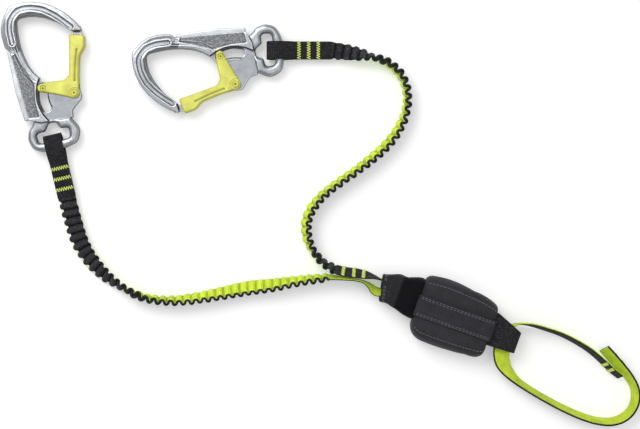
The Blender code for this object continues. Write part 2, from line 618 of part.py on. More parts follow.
def lever_mesh():
    """Palm lever: flat strip on its rivet with a latch tooth at mid height."""
    far = LEVER_HALF + CUT_OVERRUN
    lever = plate("lever_blank", [filleted(LEVER_SHARES, FRAME_LENGTH)], LEVER_HALF, LEVER_RIM, CUTTERS)
    latch = plate("latch", [filleted(LATCH_SHARES, FRAME_LENGTH)], LATCH_HALF, 0.0, CUTTERS)
    combine(lever, latch, "UNION")
    bore = circle(LEVER_PIVOT, LEVER_RIVET_RADIUS + BORE_CLEARANCE)
    combine(lever, cutter("lever_hole", bore, -far, far))
    room = circle(LEVER_PIVOT, LEVER_SPRING_RADIUS + LEVER_SPRING_WIRE + SPRING_SLACK)
    combine(lever, cutter("coil_room", room, SPRING_FLOOR - LEVER_HALF, far))
    return finished(lever, "lever_body", LEVER_PIVOT)


def rivet_profile(radius, head_radius, seat, top):
    """Headed rivet from the top centre down to the bottom centre."""
    return (
        (0.0, top), (head_radius, top), (head_radius, seat), (radius, seat),
        (radius, -seat), (head_radius, -seat), (head_radius, -top), (0.0, -top),
    )


def place(name, source, parent, pivot, paint):
    """A named copy of a carabiner piece on its joint's axis."""
    made = bpy.data.objects.new(name, source.data)
    PARTS.objects.link(made)
    made.parent = parent
    made.location = (pivot.x, pivot.y, 0.0)
    if not made.data.materials:
        made.data.materials.append(paint)
    made.data.shade_smooth()
    made.data.set_sharp_from_angle(angle=math.radians(35.0))
    return made


def carabiner_pieces():
    """The eight pieces that both carabiners share."""
    origin = Vector((0.0, 0.0))
    seat = GATE_HALF + SEAT_GAP
    pin_seat = CHEEK_INNER - PART_GAP / 2
    pin_top = GATE_HALF - GATE_GROOVE_DEPTH
    pin = (
        (0.0, pin_top), (PIN_END_RADIUS, pin_top), (PIN_END_RADIUS, pin_seat),
        (PIN_RADIUS, pin_seat), (PIN_RADIUS, -pin_seat),
        (PIN_END_RADIUS, -pin_seat), (PIN_END_RADIUS, -pin_top), (0.0, -pin_top),
    )
    lever_pin = (
        (0.0, FRAME_HALF), (LEVER_RIVET_RADIUS, FRAME_HALF),
        (LEVER_RIVET_RADIUS, -FRAME_HALF), (0.0, -FRAME_HALF),
    )
    spring_low = SPRING_FLOOR - WEB_HALF + SEAT_GAP
    spring_high = WEB_HALF - SPRING_SLACK
    lever_low = SPRING_FLOOR - LEVER_HALF + SEAT_GAP
    lever_high = LEVER_HALF - SPRING_SLACK
    rivet = rivet_profile(RIVET_RADIUS, RIVET_HEAD_RADIUS, seat, RIVET_TOP)
    gate_spring = coil("gate_coil", GATE_SPRING_RADIUS, GATE_SPRING_WIRE, GATE_SPRING_TURNS,
                       spring_low, spring_high, CUTTERS)
    lever_spring = coil("lever_coil", LEVER_SPRING_RADIUS, LEVER_SPRING_WIRE, LEVER_SPRING_TURNS,
                        lever_low, lever_high, CUTTERS)
    return (
        ("frame", frame_mesh(), origin, FORGED),
        ("gate", gate_mesh(), PIVOT, GATE_PAINT),
        ("gate_rivet", turned("rivet_body", rivet, CUTTERS), PIVOT, STEEL),
        ("lock_pin", turned("pin_body", pin, CUTTERS), PIN_AT, STEEL),
        ("palm_lever", lever_mesh(), LEVER_PIVOT, LEVER_METAL),
        ("lever_rivet", turned("lever_pin_body", lever_pin, CUTTERS), LEVER_PIVOT, STEEL),
        ("gate_spring", gate_spring, PIVOT, STEEL),
        ("lever_spring", lever_spring, LEVER_PIVOT, STEEL),
    )


def carabiners():
    """Two carabiners from one set of meshes, the second turned over."""
    pieces = carabiner_pieces()
    seats = (
        ("carabiner_a", CARABINER_A_AT, (0.0, 0.0, CARABINER_A_TURN)),
        ("carabiner_b", CARABINER_B_AT, (0.0, 180.0, CARABINER_B_TURN)),
    )
    for name, at, turn in seats:
        seat = bpy.data.objects.new(name, None)
        PARTS.objects.link(seat)
        seat.location = (*at, CARABINER_LEVEL)
        seat.rotation_euler = [math.radians(angle) for angle in turn]
        for piece, source, pivot, paint in pieces:
            place(name + "_" + piece, source, seat, pivot, paint)
    for _, source, _, _ in pieces:
        bpy.data.objects.remove(source, do_unlink=True)


# Webbing
def strap_place(at, turn, shift, reach):
    """A point on a strap's centre line, measured from the eye bar."""
    along = Matrix.Rotation(math.radians(turn), 2) @ Vector((1.0, 0.0))
    return Vector(at) + along * reach + Vector((-along.y, along.x)) * shift


def end_loop(name, at, turn, shift):
    """Sewn eye round the carabiner's bar, drawn from the side and extruded."""
    half_stack = WEBBING_THICK + SEAT_GAP / 2
    crest = LOOP_CREST
    outer_round = LOOP_OUTER_HALF * LOOP_ROUND_SHARE
    inner_round = LOOP_INNER_HALF * LOOP_ROUND_SHARE
    outer = [
        (-crest, LOOP_OUTER_HALF, outer_round), (LOOP_OUTER_HALF, LOOP_OUTER_HALF, LOOP_CREST),
        (LOOP_THROAT, half_stack, LOOP_CREST), (LEG_SEWN_LENGTH - SEAT_GAP, half_stack, 0.0),
        (LEG_SEWN_LENGTH - SEAT_GAP, -half_stack, 0.0), (LOOP_THROAT, -half_stack, LOOP_CREST),
        (LOOP_OUTER_HALF, -LOOP_OUTER_HALF, LOOP_CREST), (-crest, -LOOP_OUTER_HALF, outer_round),
    ]
    inner_end = LOOP_THROAT - WEBBING_THICK
    inner = [
        (-crest + WEBBING_THICK, LOOP_INNER_HALF, inner_round),
        (LOOP_OUTER_HALF - WEBBING_THICK, LOOP_INNER_HALF, LOOP_CREST),
        (inner_end, SEAT_GAP, 0.0), (inner_end, -SEAT_GAP, 0.0),
        (LOOP_OUTER_HALF - WEBBING_THICK, -LOOP_INNER_HALF, LOOP_CREST),
        (-crest + WEBBING_THICK, -LOOP_INNER_HALF, inner_round),
    ]
    made = plate(name, [filleted(outer, 1), filleted(inner, 1)[::-1]], WEBBING_WIDTH / 2, 0.0, PARTS)
    made.data.materials.append(BLACK_WEBBING)
    centre = strap_place(at, turn, shift, 0.0)
    stand = Matrix.Rotation(math.radians(turn), 4, "Z") @ Matrix.Rotation(math.radians(90.0), 4, "X")
    made.matrix_world = Matrix.Translation((*centre, CARABINER_LEVEL)) @ stand


def table_height(roll, half_width, half_thick):
    """Lowest centre height at which a rolled tape clears the table."""
    return TABLE_GAP + abs(math.sin(roll)) * half_width + abs(math.cos(roll)) * half_thick


def tape_rings(route, ways, width, thick, levels, pitch, wave):
    """Sections of a tape along its route, gathered in ribs where wave is not 0."""
    dense = smooth(route, ROUTE_STEPS)
    walked = [0.0]
    for last, point in zip(dense, dense[1:]):
        walked.append(walked[-1] + (point.xy - last.xy).length)
    length = walked[-1]
    ribs = round(length / pitch)
    count = ribs * RIB_STEPS if wave else ribs
    places = []
    index = 0
    for step in range(count + 1):
        target = length * step / count
        while index < len(walked) - 2 and walked[index + 1] < target:
            index += 1
        span = walked[index + 1] - walked[index]
        places.append(dense[index].lerp(dense[index + 1], (target - walked[index]) / span))
    rings = []
    for step, spot in enumerate(places):
        here = length * step / count
        roll = math.radians(spot.z)
        fade = min(1.0, here / RIB_FADE, (length - here) / RIB_FADE)
        lift = wave * fade * math.sqrt(2) * math.cos(math.tau * (step + 1 / 2) / RIB_STEPS)
        level = table_height(roll, width / 2, thick / 2 + wave * fade)
        for end_level, away in zip(levels, (here, length - here)):
            fall = min(1.0, max(0.0, away - LEVEL_FLAT) / LEVEL_RUN)
            level = max(level, end_level - (end_level - level) * fall)
        before = places[max(step - 1, 0)]
        after = places[min(step + 1, count)]
        along = Vector((after.x - before.x, after.y - before.y, 0.0)).normalized()
        if step in (0, count) and ways[step // count]:
            along = ways[step // count].to_3d().normalized()
        left = Vector((-along.y, along.x, 0.0))
        face = Vector((0.0, 0.0, math.cos(roll))) + left * math.sin(roll)
        across = along.cross(face) * width / 2
        centre = Vector((spot.x, spot.y, level)) + face * lift
        rise = face * thick / 2
        rings.append([centre + across + rise, centre - across + rise,
                      centre - across - rise, centre + across - rise])
    return rings


def tape(name, route, ways, size, levels, paint, pitch, wave=0.0):
    """One closed tape along a route."""
    rings = tape_rings(route, ways, *size, levels, pitch, wave)
    made = loft(name, rings, PARTS)
    made.data.materials.append(paint)


def shared_end(leg, tail):
    """Both routes drawn back from the point they share, and the way there."""
    way = (Vector(tail[1]) - Vector(leg[-2])).xy.normalized()
    gap = Vector((*way, 0.0)) * SEAT_GAP / 2
    leg = [Vector(point) for point in leg]
    tail = [Vector(point) for point in tail]
    leg[-1] = leg[-1] - gap
    tail[0] = tail[0] + gap
    return leg, tail, way


def leg(name, at, turn, shift, route, tail_route):
    """End loop, ribbed stretch and sewn tail of one leg."""
    end_loop(name + "_end_loop", at, turn, shift)
    start = strap_place(at, turn, shift, LEG_SEWN_LENGTH)
    first_way = Matrix.Rotation(math.radians(turn), 2) @ Vector((1.0, 0.0))
    route = [Vector((*start, 0.0))] + list(route)
    route, tail_route, way = shared_end(route, tail_route)
    on_edge = table_height(math.pi / 2, WEBBING_WIDTH / 2, 0.0)
    in_sleeve = on_edge + SLEEVE_WALL + SEAT_GAP
    tape(name + "_webbing", route, (first_way, way), (WEBBING_WIDTH, RIBBED_THICK),
         (CARABINER_LEVEL, in_sleeve), GREEN_WEBBING, RIB_PITCH, RIB_WAVE)
    tape(name + "_tail", tail_route, (way, None), (WEBBING_WIDTH, WEBBING_THICK),
         (in_sleeve, in_sleeve), BLACK_WEBBING, RIB_PITCH / 3)


def webbing():
    """Both legs and the tie-in loop."""
    leg("leg_a", CARABINER_A_AT, STRAP_A_TURN, STRAP_A_SHIFT, LEG_A_ROUTE, TAIL_A_ROUTE)
    leg("leg_b", CARABINER_B_AT, STRAP_B_TURN, STRAP_B_SHIFT, LEG_B_ROUTE, TAIL_B_ROUTE)
    tie_in_loop()


def tie_in_loop():
    """Webbing loop that lies on the table and passes through the tab."""
    rings = tape_rings(TIE_IN_ROUTE, (None, None), TIE_IN_WIDTH, TIE_IN_THICK, (0.0, 0.0),
                       RIB_PITCH / 2, 0.0)
    turn = Matrix.Rotation(math.radians(-POUCH_TURN), 2)
    middle = Vector(TAB_MIDDLE)
    lifted = []
    for ring in rings:
        centre = sum(ring, Vector()) / len(ring)
        away = ((turn @ centre.xy) - middle).length
        share = max(0.0, 1.0 - max(0.0, away - TAB_LIFT_FLAT) / TAB_LIFT_RUN)
        share = share * share * (3 - 2 * share)
        rise = max(0.0, TAB_LEVEL - centre.z) * share
        lifted.append([point + Vector((0.0, 0.0, rise)) for point in ring])
    made = loft("tie_in_loop", lifted, PARTS)
    made.data.materials.append(GREEN_WEBBING)


# Pouch
def pouch_section(low, high, height, puff):
    """One section across the pouch, flat under the band: side and height."""
    crown = POUCH_SECTION_SHARES[0][1]
    halves = []
    for edge, way in ((high, 1), (low, -1)):
        flat = way * (POUCH_BAND_WIDTH / 2 + SEAT_GAP)
        half = []
        for out, rise in POUCH_SECTION_SHARES:
            puffed = min(rise, crown) + max(0.0, rise - crown) * puff
            half.append((flat + (edge - flat) * out, height * puffed))
        halves.append(half)
    return halves[0] + halves[1][::-1]


def rounded_section(half_width, low, high):
    """Rounded-rectangle section: side and height, from the top to +side."""
    section = []
    for step in range(SECTION_STEPS):
        angle = math.tau * (step + 1 / 2) / SECTION_STEPS
        side = math.copysign(abs(math.sin(angle)) ** SLEEVE_ROUND_SHARE, math.sin(angle))
        rise = math.copysign(abs(math.cos(angle)) ** SLEEVE_ROUND_SHARE, math.cos(angle))
        section.append((half_width * side, (low + high) / 2 + (high - low) / 2 * rise))
    return section


def neck_sleeve():
    """Sleeve that widens from the Y to the rim of the pouch."""
    turn = Matrix.Rotation(math.radians(POUCH_TURN), 2)
    end = turn @ Vector((-POUCH_LENGTH / 2 - SEAT_GAP, SLEEVE_SIDE))
    route = smooth(list(SLEEVE_ROUTE) + [end], LINE_STEPS)
    _, low, high, tall, puff = POUCH_SHARES[0]
    mouth = pouch_section(low * POUCH_WIDTH, high * POUCH_WIDTH, tall * POUCH_HEIGHT, puff)
    slim = rounded_section(SLEEVE_MOUTH_WIDTH / 2, TABLE_GAP, TABLE_GAP + SLEEVE_HEIGHT)
    rings = []
    for index, spot in enumerate(route):
        share = index / (len(route) - 1)
        share = share * share * (3 - 2 * share)
        before = route[max(index - 1, 0)]
        after = route[min(index + 1, len(route) - 1)]
        along = (after - before).normalized()
        if index == len(route) - 1:
            along = turn @ Vector((1.0, 0.0))
        across = Vector((-along.y, along.x))
        ring = []
        for (side, height), (end_side, end_height) in zip(slim, mouth):
            place = spot + across * (side + (end_side - SLEEVE_SIDE - side) * share)
            ring.append((*place, height + (end_height - height) * share))
        rings.append(ring)
    made = loft("neck_sleeve", rings, PARTS, closed=False)
    made.data.materials.append(POUCH_FABRIC)
    wall = made.modifiers.new("wall", "SOLIDIFY")
    wall.thickness = SLEEVE_WALL
    wall.offset = -1.0


def pouch():
    """Fabric shell, open at both ends, with its label band left bare."""
    turn = Matrix.Rotation(math.radians(POUCH_TURN), 4, "Z")
    rings = []
    for along, low, high, tall, puff in POUCH_SHARES:
        section = pouch_section(low * POUCH_WIDTH, high * POUCH_WIDTH, tall * POUCH_HEIGHT, puff)
        rings.append([(along * POUCH_LENGTH, side, height) for side, height in section])
    shell = loft("pouch_shell", rings, PARTS, closed=False)
    shell.matrix_world = turn
    shell.data.materials.append(POUCH_FABRIC)
    wall = shell.modifiers.new("wall", "SOLIDIFY")
    wall.thickness = POUCH_WALL
    wall.offset = -1.0

    crown = POUCH_SECTION_SHARES[0][1] * POUCH_HEIGHT
    top = [(along * POUCH_LENGTH, tall * crown + SEAT_GAP) for along, _, _, tall, _ in POUCH_SHARES]
    band = [(*spot, 0.0) for spot in top]
    band += [(along, height + POUCH_BAND_THICK, 0.0) for along, height in top[::-1]]
    strip = plate("pouch_band", [band], POUCH_BAND_WIDTH / 2, 0.0, PARTS)
    strip.matrix_world = turn @ Matrix.Rotation(math.radians(90.0), 4, "X")
    strip.data.materials.append(POUCH_FABRIC)


def absorber_pack():
    """Tear webbing folded back and forth, with the tongue that the legs join."""
    turn = Matrix.Rotation(math.radians(POUCH_TURN), 4, "Z")
    base = POUCH_WALL + SEAT_GAP + PACK_LAYER_THICK / 2
    far = PACK_LENGTH / 2
    line = []
    for layer in range(PACK_LAYERS):
        height = base + layer * PACK_LAYER_PITCH
        way = 1 if layer % 2 == 0 else -1
        line += [Vector((-far * way, height)), Vector((far * way, height))]
        if layer < PACK_LAYERS - 1:
            half = PACK_LAYER_PITCH / 2
            line.append(Vector((far * way + half * way, height + half)))
    stand = Matrix.Rotation(math.radians(90.0), 4, "X")
    pack = plate("pack_folds", [stroke_flat(line, PACK_LAYER_THICK / 2)], PACK_WIDTH / 2, 0.0, CUTTERS)
    pack.matrix_world = stand
    low, high = TONGUE_EDGES
    tongue_outline = [(-TONGUE_REACH, low), (-far / 2, low), (-far / 2, high), (-TONGUE_REACH, high)]
    tongue = plate("pack_tongue", [tongue_outline], PACK_LAYER_THICK * HALF_SHARE, 0.0, CUTTERS)
    tongue.location.z = base + TONGUE_LAYER * PACK_LAYER_PITCH
    combine(pack, tongue, "UNION")
    made = meshed(pack, "absorber_pack")
    CUTTERS.objects.unlink(made)
    PARTS.objects.link(made)
    made.matrix_world = turn @ made.matrix_world
    made.data.materials.append(BLACK_WEBBING)


def outlet_tab():
    """Webbing folded back on itself, through which the tie-in loop passes."""
    low = TAB_BASE + TAB_THICK / 2
    radius = (TAB_OPEN_HEIGHT + TAB_THICK) / 2
    centre = Vector((TAB_REACH - radius - TAB_THICK / 2, low + radius))
    root = PACK_LENGTH / 2 + PACK_LAYER_PITCH / 2 + PACK_LAYER_THICK + SEAT_GAP
    roof = low + TAB_MOUTH_HEIGHT + TAB_THICK
    line = [Vector((root, low))] + arc(centre, radius, -90.0, 90.0)
    line += [Vector((POUCH_LENGTH / 2, roof)), Vector((root, roof))]
    tab = plate("tab_blank", [stroke_flat(line, TAB_THICK / 2)], 1.0, 0.0, CUTTERS)
    made = meshed(tab, "outlet_tab")
    mouth = POUCH_LENGTH / 2
    for point in made.data.vertices:
        along = max(0.0, point.co.x - mouth) / (TAB_REACH - mouth)
        side = (1.0 - point.co.z) / 2
        edges = [root_edge + (tip - root_edge) * along
                 for root_edge, tip in zip(TAB_ROOT_EDGES, TAB_TIP_EDGES)]
        point.co = (point.co.x, edges[0] + (edges[1] - edges[0]) * side, point.co.y)
    CUTTERS.objects.unlink(made)
    PARTS.objects.link(made)
    made.matrix_world = Matrix.Rotation(math.radians(POUCH_TURN), 4, "Z")
    made.data.materials.append(BLACK_WEBBING)


def stroke_flat(points, half):
    """Closed outline of a band with square ends."""
    left = []
    right = []
    for index, point in enumerate(points):
        before = (point - points[index - 1]).normalized() if index else None
        after = (points[index + 1] - point).normalized() if index < len(points) - 1 else None
        before = before or after
        after = after or before
        normal_before = Vector((-before.y, before.x))
        normal_after = Vector((-after.y, after.x))
        middle = (normal_before + normal_after).normalized()
        reach = half / max(middle.dot(normal_after), MITRE_SHARE)
        left.append(point + middle * reach)
        right.append(point - middle * reach)
    return left + right[::-1]


carabiners()
webbing()
neck_sleeve()
pouch()
absorber_pack()
outlet_tab()
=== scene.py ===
"""Via ferrata lanyard, dressed for its picture: a lesson in cells."""
# %% [markdown]
# # A via ferrata lanyard
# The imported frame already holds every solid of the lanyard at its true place:
# two palm-squeeze carabiners, two gathered legs, a pouch and a tie-in loop.
# This lesson gives each of them its finished shape and its material. The frame
# is loaded first, and its box is kept, because fabric may stand only a little
# proud of it.

# %% Load the frame
import json
import math
import pathlib

import bmesh
import bpy
import numpy as np
from mathutils import Matrix, Vector
from mathutils.bvhtree import BVHTree
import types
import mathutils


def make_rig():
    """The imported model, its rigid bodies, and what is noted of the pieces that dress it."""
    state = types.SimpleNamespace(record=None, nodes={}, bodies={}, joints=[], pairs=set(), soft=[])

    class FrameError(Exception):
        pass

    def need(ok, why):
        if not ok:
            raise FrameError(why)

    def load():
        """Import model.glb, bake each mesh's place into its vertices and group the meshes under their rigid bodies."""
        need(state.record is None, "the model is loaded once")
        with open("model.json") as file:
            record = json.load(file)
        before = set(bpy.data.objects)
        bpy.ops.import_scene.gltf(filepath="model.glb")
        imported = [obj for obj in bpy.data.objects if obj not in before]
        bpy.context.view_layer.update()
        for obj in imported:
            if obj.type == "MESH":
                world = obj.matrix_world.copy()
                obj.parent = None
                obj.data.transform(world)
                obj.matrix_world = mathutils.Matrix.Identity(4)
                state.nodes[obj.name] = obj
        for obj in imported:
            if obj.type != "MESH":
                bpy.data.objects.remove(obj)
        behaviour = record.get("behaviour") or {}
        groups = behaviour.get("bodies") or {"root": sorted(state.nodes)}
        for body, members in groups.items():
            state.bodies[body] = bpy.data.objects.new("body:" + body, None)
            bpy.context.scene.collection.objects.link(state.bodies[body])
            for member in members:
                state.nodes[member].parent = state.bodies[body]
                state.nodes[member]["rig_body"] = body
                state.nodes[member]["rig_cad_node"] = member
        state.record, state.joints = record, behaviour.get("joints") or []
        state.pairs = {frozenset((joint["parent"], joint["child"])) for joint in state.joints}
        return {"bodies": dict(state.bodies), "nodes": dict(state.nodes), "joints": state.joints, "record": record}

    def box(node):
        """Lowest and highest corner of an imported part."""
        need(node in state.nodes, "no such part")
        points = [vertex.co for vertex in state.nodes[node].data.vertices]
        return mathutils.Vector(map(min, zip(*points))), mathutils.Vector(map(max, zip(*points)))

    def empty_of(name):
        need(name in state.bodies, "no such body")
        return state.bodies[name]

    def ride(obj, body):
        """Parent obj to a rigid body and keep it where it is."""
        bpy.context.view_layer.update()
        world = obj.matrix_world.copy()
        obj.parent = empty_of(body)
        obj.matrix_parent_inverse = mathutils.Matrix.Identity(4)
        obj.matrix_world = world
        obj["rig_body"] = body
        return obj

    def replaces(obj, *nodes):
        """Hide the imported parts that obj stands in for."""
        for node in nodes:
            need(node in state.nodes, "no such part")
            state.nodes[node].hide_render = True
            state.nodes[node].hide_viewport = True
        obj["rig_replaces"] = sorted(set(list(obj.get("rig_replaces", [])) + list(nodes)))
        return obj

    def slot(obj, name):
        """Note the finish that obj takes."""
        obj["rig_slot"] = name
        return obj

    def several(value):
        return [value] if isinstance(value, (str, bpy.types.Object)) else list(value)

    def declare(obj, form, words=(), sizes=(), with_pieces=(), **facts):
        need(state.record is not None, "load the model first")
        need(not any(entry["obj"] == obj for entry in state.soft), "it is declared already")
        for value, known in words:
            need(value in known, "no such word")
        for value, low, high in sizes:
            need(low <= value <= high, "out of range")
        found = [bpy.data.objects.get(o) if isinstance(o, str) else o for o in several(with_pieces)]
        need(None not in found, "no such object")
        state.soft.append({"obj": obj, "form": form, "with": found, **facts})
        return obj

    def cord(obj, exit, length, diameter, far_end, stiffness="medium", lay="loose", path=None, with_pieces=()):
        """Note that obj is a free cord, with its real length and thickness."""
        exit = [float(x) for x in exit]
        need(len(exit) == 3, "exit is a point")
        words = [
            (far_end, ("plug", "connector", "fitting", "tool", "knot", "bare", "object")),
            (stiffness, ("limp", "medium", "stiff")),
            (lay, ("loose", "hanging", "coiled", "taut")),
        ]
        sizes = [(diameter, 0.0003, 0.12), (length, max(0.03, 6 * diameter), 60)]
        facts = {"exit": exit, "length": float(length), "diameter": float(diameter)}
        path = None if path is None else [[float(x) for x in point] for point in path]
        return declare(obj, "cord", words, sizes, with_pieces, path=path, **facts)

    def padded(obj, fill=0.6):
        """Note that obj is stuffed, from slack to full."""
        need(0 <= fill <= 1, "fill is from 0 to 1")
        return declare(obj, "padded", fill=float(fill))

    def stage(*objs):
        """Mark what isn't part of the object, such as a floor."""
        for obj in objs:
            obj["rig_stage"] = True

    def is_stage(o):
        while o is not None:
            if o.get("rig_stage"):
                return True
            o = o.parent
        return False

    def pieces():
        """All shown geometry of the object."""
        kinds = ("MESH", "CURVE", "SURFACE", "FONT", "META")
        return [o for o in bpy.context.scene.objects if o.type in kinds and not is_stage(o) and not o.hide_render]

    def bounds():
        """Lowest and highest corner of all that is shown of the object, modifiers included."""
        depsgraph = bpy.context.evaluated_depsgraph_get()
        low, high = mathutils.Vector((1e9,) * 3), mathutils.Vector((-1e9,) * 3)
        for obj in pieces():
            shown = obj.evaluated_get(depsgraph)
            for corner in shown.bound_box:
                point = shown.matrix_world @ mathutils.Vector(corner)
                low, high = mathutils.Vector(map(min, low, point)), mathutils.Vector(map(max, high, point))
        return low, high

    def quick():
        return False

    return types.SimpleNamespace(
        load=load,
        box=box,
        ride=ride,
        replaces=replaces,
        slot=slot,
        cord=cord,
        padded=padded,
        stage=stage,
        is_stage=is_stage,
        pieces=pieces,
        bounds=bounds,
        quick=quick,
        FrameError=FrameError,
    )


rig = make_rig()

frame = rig.load()
cad_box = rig.bounds()
print("frame loaded, box", [[round(v, 4) for v in corner] for corner in cad_box])

# %% [markdown]
# ## Camera, table and light
# The picture was taken straight down, so a long lens looks along -Z with +Y up.
# One pixel of the picture is 0.9 mm on the table. The table is plain and pale,
# and the camera sees it a little brighter than it is lit, so that it comes out
# white but keeps the soft shadow of the lanyard. A wide lamp at the upper left
# gives the metal its light edges, and the sky is dimmer near the horizon.

# %% Camera
PIXEL = 0.0009
PICTURE_WIDTH = 640
LENS = 85.0
SENSOR = 36.0
VIEW_MIDDLE = (-0.12006, 0.09234, 0.005)
height = PICTURE_WIDTH * PIXEL * LENS / SENSOR
bpy.ops.object.camera_add(location=(*VIEW_MIDDLE[:2], VIEW_MIDDLE[2] + height), rotation=(0, 0, 0))
camera = bpy.context.object
camera.data.lens = LENS
camera.data.sensor_width = SENSOR
bpy.context.scene.camera = camera
bpy.context.scene.view_settings.view_transform = "Standard"
print("camera", round(height, 3), "m above the table")


# %% Short ways to build nodes
def put(slot, term):
    """Fill an input from a number, a colour, a vector or another node's output."""
    term = getattr(term, "socket", term)
    if isinstance(term, bpy.types.NodeSocket):
        slot.id_data.links.new(term, slot)
    else:
        slot.default_value = (*term, 1.0) if slot.type == "RGBA" else term


def add(tree, kind, inputs=None, **settings):
    """One node with its settings; inputs go by socket name or number."""
    node = tree.nodes.new(kind)
    for key, setting in settings.items():
        setattr(node, key, setting)
    for key, term in (inputs or {}).items():
        put(node.inputs[key], term)
    return node


class Value:
    """An output that can be reckoned with; each step is one Math node."""

    def __init__(self, socket):
        self.socket = socket
        self.tree = socket.id_data

    def maths(self, operation, *terms, clamp=False):
        """This value and other terms through one Math node."""
        node = add(self.tree, "ShaderNodeMath", dict(enumerate((self, *terms))),
                   operation=operation, use_clamp=clamp)
        return Value(node.outputs[0])

    def __add__(self, term):
        return self.maths("ADD", term)

    def __sub__(self, term):
        return self.maths("SUBTRACT", term)

    def __mul__(self, term):
        return self.maths("MULTIPLY", term)

    def __truediv__(self, term):
        return self.maths("DIVIDE", term)

    def __pow__(self, term):
        return self.maths("POWER", term)


def mixed(share, first, second, blend="MIX"):
    """A colour mix; colours are values or linear RGB."""
    tree = next(term.tree for term in (share, first, second) if isinstance(term, Value))
    node = add(tree, "ShaderNodeMix", {0: share, 6: first, 7: second}, data_type="RGBA", blend_type=blend)
    return Value(node.outputs[2])


def times(colour, shade):
    """A colour darkened or lightened by a value."""
    return mixed(1.0, colour, shade, "MULTIPLY")


def ramped(value, stops):
    """A colour ramp over a value; stops are (place, grey)."""
    node = add(value.tree, "ShaderNodeValToRGB", {0: value})
    elements = node.color_ramp.elements
    while len(elements) < len(stops):
        elements.new(0.5)
    for element, (place, grey) in zip(elements, stops):
        element.position = place
        element.color = (grey, grey, grey, 1.0)
    return Value(node.outputs[0])


def noise(place, scale, detail, roughness=0.5, distortion=0.0):
    """Noise at a place."""
    node = add(place.tree, "ShaderNodeTexNoise", {
        "Vector": place, "Scale": scale, "Detail": detail, "Roughness": roughness, "Distortion": distortion})
    return Value(node.outputs[0])


def bumped(height, strength, distance, under=None):
    """A bump from a height, on top of another bump if there is one."""
    inputs = {"Strength": strength, "Distance": distance, "Height": height}
    if under:
        inputs["Normal"] = under
    return Value(add(height.tree, "ShaderNodeBump", inputs).outputs[0])


def kept(tree, name):
    """A value kept in the points of a mesh."""
    return Value(add(tree, "ShaderNodeAttribute", attribute_name=name).outputs["Fac"])


def parts(vector):
    """The three parts of a vector."""
    return [Value(part) for part in add(vector.id_data, "ShaderNodeSeparateXYZ", {0: vector}).outputs]


def new_material(name):
    """A material with a Principled shader, and its tree."""
    made = bpy.data.materials.new(name)
    made.use_nodes = True
    return made, made.node_tree


def painted(tree, inputs):
    """Fill the inputs of a material's Principled shader."""
    for key, term in inputs.items():
        put(tree.nodes["Principled BSDF"].inputs[key], term)


# %% Table
TABLE_GREY = (0.80, 0.80, 0.80)
TABLE_GLOW = 0.30
WHITE = (1.0, 1.0, 1.0)
table_paper, tree = new_material("table_paper")
tree.nodes.remove(tree.nodes["Principled BSDF"])
rays = add(tree, "ShaderNodeLightPath")
seen = Value(rays.outputs["Is Camera Ray"])
for ray in ("Is Glossy Ray", "Is Transmission Ray"):
    seen = seen.maths("MAXIMUM", rays.outputs[ray])
both = add(tree, "ShaderNodeAddShader", {
    0: add(tree, "ShaderNodeBsdfDiffuse", {"Color": TABLE_GREY}).outputs[0],
    1: add(tree, "ShaderNodeEmission", {"Color": WHITE, "Strength": seen * TABLE_GLOW}).outputs[0]})
put(tree.nodes["Material Output"].inputs[0], both.outputs[0])
bpy.ops.mesh.primitive_plane_add(size=8.0, location=(*VIEW_MIDDLE[:2], 0.0))
table = bpy.context.object
table.name = "table"
table.data.materials.append(table_paper)
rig.stage(table)

# %% Sky and lamps
sky = bpy.data.worlds.new("studio")
bpy.context.scene.world = sky
sky.use_nodes = True
tree = sky.node_tree
up = parts(add(tree, "ShaderNodeTexCoord").outputs["Generated"])[2]
dome = ramped(up, ((0.0, 0.46), (0.22, 0.24), (0.60, 0.48), (1.0, 0.68)))
behind = Value(add(tree, "ShaderNodeLightPath").outputs["Is Camera Ray"])
put(tree.nodes["Background"].inputs["Color"], mixed(behind, dome, WHITE))
for name, place, power, size in (
    ("key_lamp", (-0.95, 1.15, 1.55), 22.0, 1.2),
    ("top_lamp", (0.35, 0.25, 2.30), 5.0, 1.8),
    ("fill_lamp", (1.10, -0.80, 1.20), 3.5, 1.6),
):
    bpy.ops.object.light_add(type="AREA", location=place)
    lamp = bpy.context.object
    lamp.name = name
    lamp.data.energy = power
    lamp.data.size = size
    lamp.rotation_euler = (Vector(VIEW_MIDDLE) - Vector(place)).to_track_quat("-Z", "Y").to_euler()
print("three lamps and the sky are up")

# %% [markdown]
# ## What webbing is made of
# Close up, webbing is plain weave: warp threads run along it and weft threads
# across it, each passing over and under the other. One node group makes that
# relief from two distances and the thread's width, and every cloth in this
# lesson uses it with its own values. A second group gives slow, soft changes
# of shade, because no dyed cloth or forged metal is quite even.


# %% Node groups: woven threads and slow changes of shade
def group(name, inputs, outputs):
    """A shader node group, its inputs as values, and its output node."""
    made = bpy.data.node_groups.new(name, "ShaderNodeTree")
    for label, start in inputs.items():
        kind = "NodeSocketVector" if start is None else "NodeSocketFloat"
        socket = made.interface.new_socket(label, in_out="INPUT", socket_type=kind)
        if start is not None:
            socket.default_value = start
    for label in outputs:
        made.interface.new_socket(label, in_out="OUTPUT", socket_type="NodeSocketFloat")
    given = made.nodes.new("NodeGroupInput")
    return made, [Value(given.outputs[label]) for label in inputs], made.nodes.new("NodeGroupOutput")


